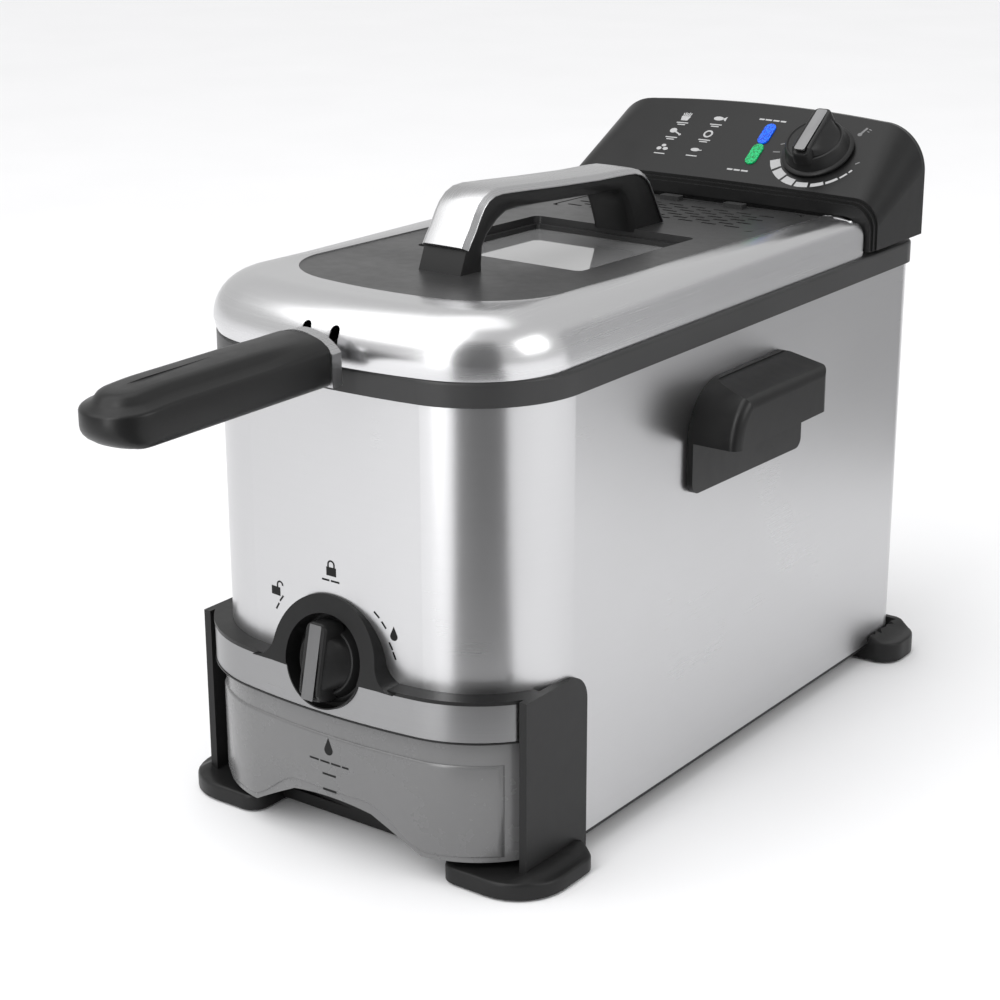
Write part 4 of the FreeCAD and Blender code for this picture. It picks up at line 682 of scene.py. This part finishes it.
def make_wire_basket():
    """Woven wire basket: floor and wall wires, a hoop at the floor, one on the wall and a heavy rim."""
    front, rear = basket_low.y - DATUM, basket_high.y - DATUM
    half, floor, top = basket_high.x, basket_low.z, basket_high.z

    def hoop(inset, level, steps=10):
        loop = corners((-half + inset, front + inset), (half - inset, rear - inset),
                       (max(3, 26 - inset),) * 4, steps)
        return [at(x, y, level) for x, y in loop]

    def wall(x, y, nx, ny):
        """One upright wire that bends under into the floor."""
        points = [(0, top + 1.0), (0, top - 40), (0.3, floor + 14), (1.5, floor + 6), (4.5, floor + 2.4),
                  (9.5, floor + 1)]
        return [at(x + nx * inset, y + ny * inset, z) for inset, z in points]

    parts = []
    pitch = 8.2
    loop = corners((-half + 1, front + 1), (half - 1, rear - 1), (25,) * 4, 12)
    closed = loop + loop[:1]
    lengths = [0.0]
    for a, b in zip(closed, closed[1:]):
        lengths.append(lengths[-1] + math.dist(a, b))
    count = int(lengths[-1] / pitch)
    ways = inward(loop)
    for k in range(count):
        target = lengths[-1] * k / count
        i = max(j for j in range(len(loop)) if lengths[j] <= target)
        share = (target - lengths[i]) / max(1e-6, lengths[i + 1] - lengths[i])
        j = (i + 1) % len(loop)
        x, y = mix(loop[i][0], loop[j][0], share), mix(loop[i][1], loop[j][1], share)
        nx, ny = mix(ways[i][0], ways[j][0], share), mix(ways[i][1], ways[j][1], share)
        parts.append(tube(wall(x, y, nx, ny), WEAVE, 5))
    level = floor + 16
    while level < top - 4:
        parts.append(tube(hoop(0.5, level), WEAVE, 5, True))
        level += pitch
    for k in range(-8, 9):
        x = k * pitch
        parts.append(tube([at(x, front + 9, floor + 1), at(x, (front + rear) / 2, floor + 1),
                           at(x, rear - 9, floor + 1)], WEAVE, 5))
    y = front + 14
    while y < rear - 8:
        parts.append(tube([at(-half + 9, y, floor + 2), at(0, y, floor + 2), at(half - 9, y, floor + 2)],
                          WEAVE, 5))
        y += pitch
    parts.append(tube(hoop(9.5, floor + 1.6), FLOOR_HOOP, 6, True))
    add_piece("basket_mesh", join(*parts), "basket", STEEL_WIRE, ["fry_basket"], 80)
    rim = join(tube(hoop(-0.7, top + 1.8, 14), RIM_HOOP, 10, True),
               tube(hoop(0.4, top - 22, 14), WALL_HOOP, 8, True))
    add_piece("basket_rim", rim, "basket", STEEL_WIRE, ["basket_frame"], 80)


make_wire_basket()

# ------------------------------------------------------------------ feet


def make_feet():
    """Flared feet: each rises from an edged sole to a crown that passes under or beside the body."""
    for end in ("front", "rear"):
        if end == "front":
            loop = corners((56, -16.5), (109, 38), (9, 26, 10, 8))
            centre = (86, 16)
        else:
            loop = corners((74, 331), (111, 368), (8, 12, 16, 6))
            centre = (92, 350)

        def height(x, y):
            if x <= 95 and y < 364:
                return 9.2 if x <= 93 else 9.8
            if end == "rear":
                return 11.9 + 3.6 * smooth((104 - x) / 8)
            return 8.2 + 3.4 * smooth((106 - x) / 8) * smooth((y + 15) / 12)

        sole, edge = 1.2, 10.6 if end == "rear" else 7.2
        rings = [[at(x, y, sole) for x, y in loop], [at(x, y, edge) for x, y in loop]]
        for share, drop in ((0.993, 0.7), (0.98, 0.2), (0.96, 0.0), (0.9, 0), (0.84, 0), (0.78, 0), (0.7, 0),
                            (0.5, 0), (0.25, 0)):
            ring = []
            for x, y in loop:
                px, py = mix(centre[0], x, share), mix(centre[1], y, share)
                ring.append(at(px, py, height(px, py) - drop))
            rings.append(ring)
        verts, faces = loft(rings, capped=True)
        for side, name in ((1, "right"), (-1, "left")):
            points = [(x * side, y, z) for x, y, z in verts]
            add_piece(f"{end}_pad_{name}", (points, faces), "root", PLASTIC,
                      [f"{end}_foot_{name}"], 50)


make_feet()

# ------------------------------------------------------------------ knobs


def facing(x, depth, z, lean):
    """A local frame whose +Z is a surface's outward normal and whose +Y runs up the surface."""
    return Matrix.Translation(Vector(at(x, depth, z))) @ Matrix.Rotation(lean, 4, "X")


PANEL_LEAN = math.atan2(34.7, 49)               # rise over run of the sloping control panel
PANEL_EDGE, PANEL_EDGE_HIGH = 311, 268.8        # depth and height of its front edge
PANEL_MIDDLE = 334.5
PANEL = facing(0, PANEL_MIDDLE, PANEL_EDGE_HIGH + (PANEL_MIDDLE - PANEL_EDGE) * math.tan(PANEL_LEAN),
               PANEL_LEAN)
DIAL = PANEL @ Matrix.Translation(Vector((48.5, 0, 0)))
KNOB = facing(0, -25, 99, math.radians(77))
KNOB_TURNS = [2 * math.pi * k / 72 for k in range(72)]
CROWN_RINGS = 15


def make_turn_knob(name, place, radius, levels, bar, body, replaced):
    """Flared round knob whose bar grip falls away to the right in one broad face.

    levels are the foot, flange, disc and grip heights; bar is half its width and half its length.
    """
    foot, flange, disc, grip = levels
    rim = radius * 0.78
    rings = [(radius, foot), (radius, flange - 0.5), (radius - 0.5, flange), (radius * 0.9, flange + 0.4),
             (rim + 0.7, disc - 0.9), (rim + 0.2, disc - 0.2), (rim - 0.5, disc), (rim - 1.3, disc - 0.5)]
    rows = [[(r * math.cos(t), r * math.sin(t), h) for t in KNOB_TURNS] for r, h in rings]

    def face(a, b):
        """Height of the crown: level on the left, falling from the bar to the rim on the right."""
        chord = math.sqrt(max(0.0, (rim - 1.3) ** 2 - b * b))
        if a < 0 or chord <= bar[0] + 0.5:
            return disc - 0.5
        share = min(1.0, max(0.0, a - bar[0]) / (chord - bar[0]))
        return mix(grip - 1.6, disc - 0.6, share ** 0.8)

    for k in range(1, CROWN_RINGS):
        r = (rim - 1.3) * (1 - k / CROWN_RINGS)
        flat = [(r * math.cos(t), r * math.sin(t)) for t in KNOB_TURNS]
        rows.append([(a, b, face(a, b)) for a, b in flat])
    cone = loft([[tuple(place @ Vector(p)) for p in row] for row in rows], capped=True)
    wide, long = bar
    loop = corners((-wide, -long), (wide, long), (min(wide, 3.6),) * 4, 6)
    ways = inward(loop)
    block = []
    for inset, h in ((-0.9, disc - 2), (-0.5, disc + 1), (0, grip - 1.6), (0.25, grip - 0.6),
                     (0.7, grip - 0.15), (1.5, grip)):
        block.append([tuple(place @ Vector((a + wa * inset, b + wb * inset,
                                            h - 2.6 * smooth((-b - long + 4.5) / 4) * (h > disc + 1))))
                      for (a, b), (wa, wb) in zip(loop, ways)])
    add_piece(name, join(cone, loft(block, capped=True)), body, PLASTIC, [replaced], 32)


make_turn_knob("dial_grip", DIAL, 20.0, (0.6, 2.0, 9.4, 16.45), (5.4, 17.0), "temperature_dial",
               "thermostat_knob")
make_turn_knob("knob_grip", KNOB, 19.9, (-6.0, -4.6, 0.6, 10.85), (6.0, 18.4), "filter_control",
               "filter_knob")

# ------------------------------------------------------------------ oil box front


BOX_FIELD_HALF, BOX_FIELD_TOP = 84.5, 61.5
PULL_LOW, PULL_RISE, PULL_HALF, PULL_RAMP = 13.2, 17.6, 54, 34


def pull_arch(x):
    """Height of the finger pull's edge under the oil box front."""
    reach = abs(x)
    return PULL_LOW if reach > PULL_HALF else PULL_LOW + PULL_RISE * smooth((PULL_HALF - reach) / PULL_RAMP)


def front_bow(x, out):
    """Depth of a bowed front that stands out from the steel body, its corner arcs included."""
    corner, centre_x, bow = 53 + out, 42, 354 + out
    bow_y = -20.1 - out + bow
    centre_y = bow_y - math.sqrt((bow - corner) ** 2 - centre_x ** 2)
    touch = bow * centre_x / (bow - corner)
    if abs(x) <= touch:
        return bow_y - math.sqrt(bow * bow - x * x)
    return centre_y - math.sqrt(corner * corner - (abs(x) - centre_x) ** 2)


def make_box_panel():
    """Raised lower field of the oil box front, softly edged, over the finger pull."""
    count = 97
    columns = [mix(-BOX_FIELD_HALF, BOX_FIELD_HALF, i / (count - 1)) for i in range(count)]
    loops = []
    for out, inset, low in ((4.55, 0, 0), (5.0, 0.25, 0.1), (5.35, 0.9, 0.5), (5.5, 1.8, 1.1)):
        across = [x * (BOX_FIELD_HALF - inset) / BOX_FIELD_HALF for x in columns]
        loop = [at(x, front_bow(x, out), pull_arch(x) + 2.4 + low) for x in across]
        loop += [at(x, front_bow(x, out), BOX_FIELD_TOP - inset) for x in reversed(across)]
        loops.append(loop)
    verts, faces = loft(loops)
    last, end = (len(loops) - 1) * 2 * count, len(loops) * 2 * count - 1
    for i in range(count - 1):
        faces.append((last + i, last + i + 1, end - 1 - i, end - i))
    add_piece("oil_box_field", (verts, faces), "clean_oil_box", PLASTIC_BOX, (), 50)


make_box_panel()

# ------------------------------------------------------------------ printed marks


INK_SUNK, INK_PROUD = 0.05, 0.09        # how far ink reaches into and out of its surface
INK_START = 30                          # where the search for the surface begins, along the normal


def rectangle(a, b, wide, high, turn=0.0):
    c, s = math.cos(math.radians(turn)), math.sin(math.radians(turn))
    box = ((-wide / 2, -high / 2), (wide / 2, -high / 2), (wide / 2, high / 2), (-wide / 2, high / 2))
    return [(a + u * c - v * s, b + u * s + v * c) for u, v in box]


def ellipse(a, b, wide, high, count=16):
    turns = [2 * math.pi * k / count for k in range(count)]
    return [(a + wide / 2 * math.cos(t), b + high / 2 * math.sin(t)) for t in turns]


def sector(radius, thick, middle, spread, steps=5):
    """A block of a ring scale round the local origin."""
    outer = [math.radians(mix(middle - spread / 2, middle + spread / 2, k / steps)) for k in range(steps + 1)]
    return ([(radius * math.cos(t), radius * math.sin(t)) for t in outer]
            + [((radius - thick) * math.cos(t), (radius - thick) * math.sin(t)) for t in reversed(outer)])


def drop_mark(a, b, size):
    points = [(a, b + size)]
    for k in range(13):
        t = math.radians(30 - k * 20)
        points.append((a + size * 0.52 * math.cos(t), b - size * 0.3 + size * 0.52 * math.sin(t)))
    return points


def padlock(a, b, size, opened):
    shapes = [rectangle(a, b - size * 0.3, size * 1.1, size * 0.8)]
    shift = size * 0.55 if opened else 0.0
    bow = []
    for radius, order in ((0.42, range(0, 181, 20)), (0.26, range(180, -1, -20))):
        bow += [(a + shift + size * radius * math.cos(math.radians(t)),
                 b + size * 0.35 + size * radius * math.sin(math.radians(t))) for t in order]
    shapes.append(bow)
    for side in (-1, 1):
        if side == -1 or not opened:
            shapes.append(rectangle(a + shift + side * size * 0.34, b + size * 0.2, size * 0.16, size * 0.34))
    return shapes


def make_print(name, node, body, place, shapes, look, over=0.0):
    """Thin raised ink on a CAD surface: each outline is laid on it along the local normal.

    over lifts the ink on to a visible layer that stands in front of the CAD surface.
    """
    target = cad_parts[node]
    tree = BVHTree.FromPolygons([v.co / MM for v in target.data.vertices],
                                [list(f.vertices) for f in target.data.polygons])
    normal = (place.to_3x3() @ Vector((0, 0, 1))).normalized()
    parts = []
    for shape in shapes:
        rings = []
        hits = []
        for a, b in shape:
            start = place @ Vector((a, b, INK_START))
            hit = tree.ray_cast(start, -normal)[0]
            hits.append(hit if hit is not None else place @ Vector((a, b, 0)))
        for lift in (over - INK_SUNK, over + INK_PROUD):
            rings.append([tuple(h + normal * lift) for h in hits])
        parts.append(loft(rings, capped=True))
    add_piece(name, join(*parts), body, look, (), 30)


def make_panel_marks():
    """Six food pictures with dashes under them, lamp captions, a thermometer and the dial's scale."""
    icons = []
    for k, (a, b) in enumerate(((-43.5, 15.7), (-21.8, 16.6), (-44.5, 3.6), (-22.9, 4.0), (-45.5, -9.8),
                                (-24.8, -9.0))):
        if k == 0:      # sticks in a cup
            icons += [rectangle(a + i * 1.1, b + 1.6 + 0.4 * (i % 2), 0.7, 2.8, -6 * i)
                      for i in (-2, -1, 0, 1, 2)]
            icons.append([(a - 3, b + 0.4), (a - 2.1, b - 3), (a + 2.1, b - 3), (a + 3, b + 0.4)])
        elif k == 1:    # fish
            icons += [ellipse(a - 0.6, b, 6.4, 3.2), [(a + 2.0, b), (a + 4.4, b + 1.8), (a + 4.4, b - 1.8)]]
        elif k == 2:    # drumstick
            icons += [ellipse(a - 1.4, b + 0.6, 4.6, 3.8), rectangle(a + 2.2, b - 1.2, 4.2, 0.9, -28),
                      ellipse(a + 4.1, b - 2.2, 1.6, 1.6)]
        elif k == 3:    # ring
            icons.append([(x + a, y + b) for x, y in sector(2.9, 1.1, 90, 358, 24)])
        elif k == 4:    # small pieces
            icons += [ellipse(a - 2.2, b - 0.9, 3.2, 2.6, 9), ellipse(a + 1.9, b - 0.8, 3.4, 2.4, 9),
                      ellipse(a - 0.2, b + 1.7, 3.0, 2.2, 9)]
        else:           # leaf
            icons += [ellipse(a, b, 5.6, 2.6), rectangle(a + 3.4, b - 0.1, 1.8, 0.6, 10)]
        for width, lower in ((7.6, 4.9), (5.0, 6.4)) if k < 4 else ((7.0, 4.8),):
            icons.append(rectangle(a, b - lower, width, 0.75))
    icons += [rectangle(10.6 + i, 19.4, w, 1.1) for i, w in ((-6.5, 3.2), (-2.2, 4.0), (2.6, 3.8), (7.0, 3.4))]
    icons += [rectangle(8.4 + i, -20.4, w, 1.1) for i, w in ((-5.0, 3.4), (-0.6, 3.8), (4.2, 4.2))]
    make_print("panel_marks", "control_housing", "control_unit", PANEL, icons, INK_WHITE)
    soft = [rectangle(24.4, -3.6, 4.2, 0.9, 6), rectangle(25.2, 2.8, 2.4, 0.8, 25),
            rectangle(73.6, -4.0, 2.6, 0.8, 45)]
    soft += [ellipse(65.2, 17.4, 2.6, 2.6), rectangle(66.3, 20.4, 1.3, 5.6, -20),
             rectangle(69.4, 22.0, 1.8, 0.6, -20), rectangle(68.9, 20.3, 1.4, 0.5, -20)]
    make_print("panel_marks_soft", "control_housing", "control_unit", PANEL, soft, INK_GREY)
    blocks = [(211, 16, 5.6), (232, 18, 5.3), (253, 17, 4.6), (273, 17, 3.4), (293, 16, 2.5), (311, 15, 1.7),
              (326, 10, 1.2), (336, 5, 1.0)]
    scale = [sector(26.8, thick, middle, spread) for middle, spread, thick in blocks]
    make_print("dial_scale", "control_housing", "control_unit", DIAL, scale, INK_WHITE)


def make_front_marks():
    """Lock, open lock and drop round the knob, a drop on the oil box, and dashes for the words."""
    front = facing(0, 0, 0, math.radians(90))
    marks = padlock(0, 142.2, 5.2, False) + padlock(-35.6, 124.6, 5.2, True) + [drop_mark(34.5, 117.8, 3.8)]
    marks += [rectangle(a, b, w, 0.9) for a, b, w in ((-3.4, 136.2, 4.4), (2.2, 136.2, 5.0))]
    marks += [rectangle(a, b, 3.8, 0.9, t) for a, b, t in ((-32.0, 120.0, 52), (-34.8, 115.6, 58),
                                                           (25.4, 125.4, -42), (29.2, 121.2, -52),
                                                           (32.8, 111.8, -62), (34.6, 107.4, -68))]
    make_print("knob_marks", "outer_housing", "root", front, marks, INK_BLACK)
    low = [drop_mark(0, 55.4, 4.8)]
    low += [rectangle(a, 47.6, w, 0.9) for a, w in ((-9, 5.6), (-2.4, 5.6), (4.2, 5.6), (9.8, 3.8))]
    low += [rectangle(0, b, 8.0, 1.0) for b in (41.4, 33.4)]
    make_print("oil_box_marks", "oil_box", "clean_oil_box", front, low, INK_BLACK, 0.92)


make_panel_marks()
make_front_marks()

# ------------------------------------------------------------------ edges of carried-over plastics

for node, width in (("front_frame", 0.6), ("rim_collar", 0.4), ("control_housing", 0.5), ("control_back", 0.5),
                    ("oil_box", 0.6), ("lid_insert", 0.35), ("filter_grille", 0.25),
                    ("side_handle_left", 1.2), ("side_handle_right", 1.2),
                    ("fascia_strip", 0.15), ("handle_collar", 0.4), ("window_glass", 0.2),
                    ("base_pan", 0.4), ("oil_box_lid", 0.4)):
    soften(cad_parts[node], width, 40).harden_normals = True

# ------------------------------------------------------------------ stage, light and camera


def stage_material(name, level):
    n = Nodes(name)
    speck = n.noise(6, 3)
    return n.finish(n.blend(n.spread(speck, 0, 1), grey(level * 0.985), grey(level)), n.spread(speck, 0.7, 0.8))


def make_stage():
    """A pale floor and two cards, in metres. A card's azimuth is 0 in front and 90 at the right."""
    mesh = bpy.data.meshes.new("floor")
    reach = 14
    mesh.from_pydata([(-reach, -reach, 0), (reach, -reach, 0), (reach, reach, 0), (-reach, reach, 0)], [],
                     [(0, 1, 2, 3)])
    floor = bpy.data.objects.new("floor", mesh)
    mesh.materials.append(stage_material("floor_pale", 0.86))
    bpy.context.scene.collection.objects.link(floor)
    add_flag("flag_front", 38, 22, (0.30, 0.85), 1.2, 0.13)
    add_flag("flag_side", 150, 16, (0.62, 1.4), 0.9, 0.35)


def add_flag(name, azimuth, half_angle, reach, tall, level):
    """A card that only reflections see: it lies on the floor, then stands up."""
    mesh = bpy.data.meshes.new(name)
    points = []
    spans, above_floor = 12, 0.001
    for i in range(spans + 1):
        turn = math.radians(azimuth + mix(-half_angle, half_angle, i / spans))
        for distance, z in ((reach[0], above_floor), (reach[1], above_floor), (reach[1], tall)):
            points.append((distance * math.sin(turn), -distance * math.cos(turn), z))
    faces = []
    for i in range(spans):
        for j in (0, 1):
            faces.append((3 * i + j, 3 * i + 3 + j, 3 * i + 4 + j, 3 * i + 1 + j))
    mesh.from_pydata(points, [], faces)
    card = bpy.data.objects.new(name, mesh)
    mesh.materials.append(stage_material(name, level))
    bpy.context.scene.collection.objects.link(card)
    card.visible_camera = card.visible_shadow = card.visible_diffuse = False


def add_light(name, place, target, size, power, size_y=None):
    """A square area light aimed at a point, or a rectangle where size_y is given."""
    data = bpy.data.lights.new(name, "AREA")
    data.energy, data.size = power, size
    if size_y:
        data.shape, data.size_y = "RECTANGLE", size_y
    light = bpy.data.objects.new(name, data)
    light.location = place
    light.rotation_mode = "QUATERNION"
    light.rotation_quaternion = (Vector(target) - Vector(place)).to_track_quat("-Z", "Y")
    bpy.context.scene.collection.objects.link(light)
    light.visible_camera = False


def make_light():
    world = bpy.data.worlds.new("studio")
    bpy.context.scene.world = world
    world.use_nodes = True
    background = world.node_tree.nodes["Background"]
    background.inputs["Color"].default_value = (1, 1, 1, 1)
    background.inputs["Strength"].default_value = 0.70
    add_light("strip", (0.05, -1.15, 0.75), (0.02, 0, 0.25), 0.30, 7, 1.5)
    add_light("fill", (1.7, 0.35, 1.2), (0, 0.05, 0.15), 1.0, 9)
    add_light("top", (-0.4, 0.2, 2.2), (0, 0, 0), 1.6, 8)
    sun = bpy.data.lights.new("soft_sun", "SUN")
    sun.energy, sun.angle = 1.3, math.radians(60)
    lamp = bpy.data.objects.new("soft_sun", sun)
    lamp.rotation_euler = (math.radians(28), math.radians(-22), 0)
    bpy.context.scene.collection.objects.link(lamp)


# The camera: its lens in millimetres, its place in metres, and unit vectors to its right, up and ahead.
LENS, SENSOR = 80.53, 36.0
CAMERA_PLACE = Vector((0.622668, -0.842545, 0.498324))
CAMERA_RIGHT = Vector((0.806426, 0.591329, -0.002478))
CAMERA_UP = Vector((-0.189164, 0.261938, 0.946364))
CAMERA_AHEAD = Vector((-0.560262, 0.762704, -0.323092))


def make_camera():
    data = bpy.data.cameras.new("camera")
    data.lens, data.sensor_width = LENS, SENSOR
    data.clip_start, data.clip_end = 0.05, 60
    camera = bpy.data.objects.new("camera", data)
    turn = Matrix((CAMERA_RIGHT, CAMERA_UP, -CAMERA_AHEAD)).transposed().to_4x4()
    camera.matrix_world = Matrix.Translation(CAMERA_PLACE) @ turn
    bpy.context.scene.collection.objects.link(camera)
    bpy.context.scene.camera = camera


make_stage()
make_light()
make_camera()
bpy.context.scene.view_settings.view_transform = "Standard"
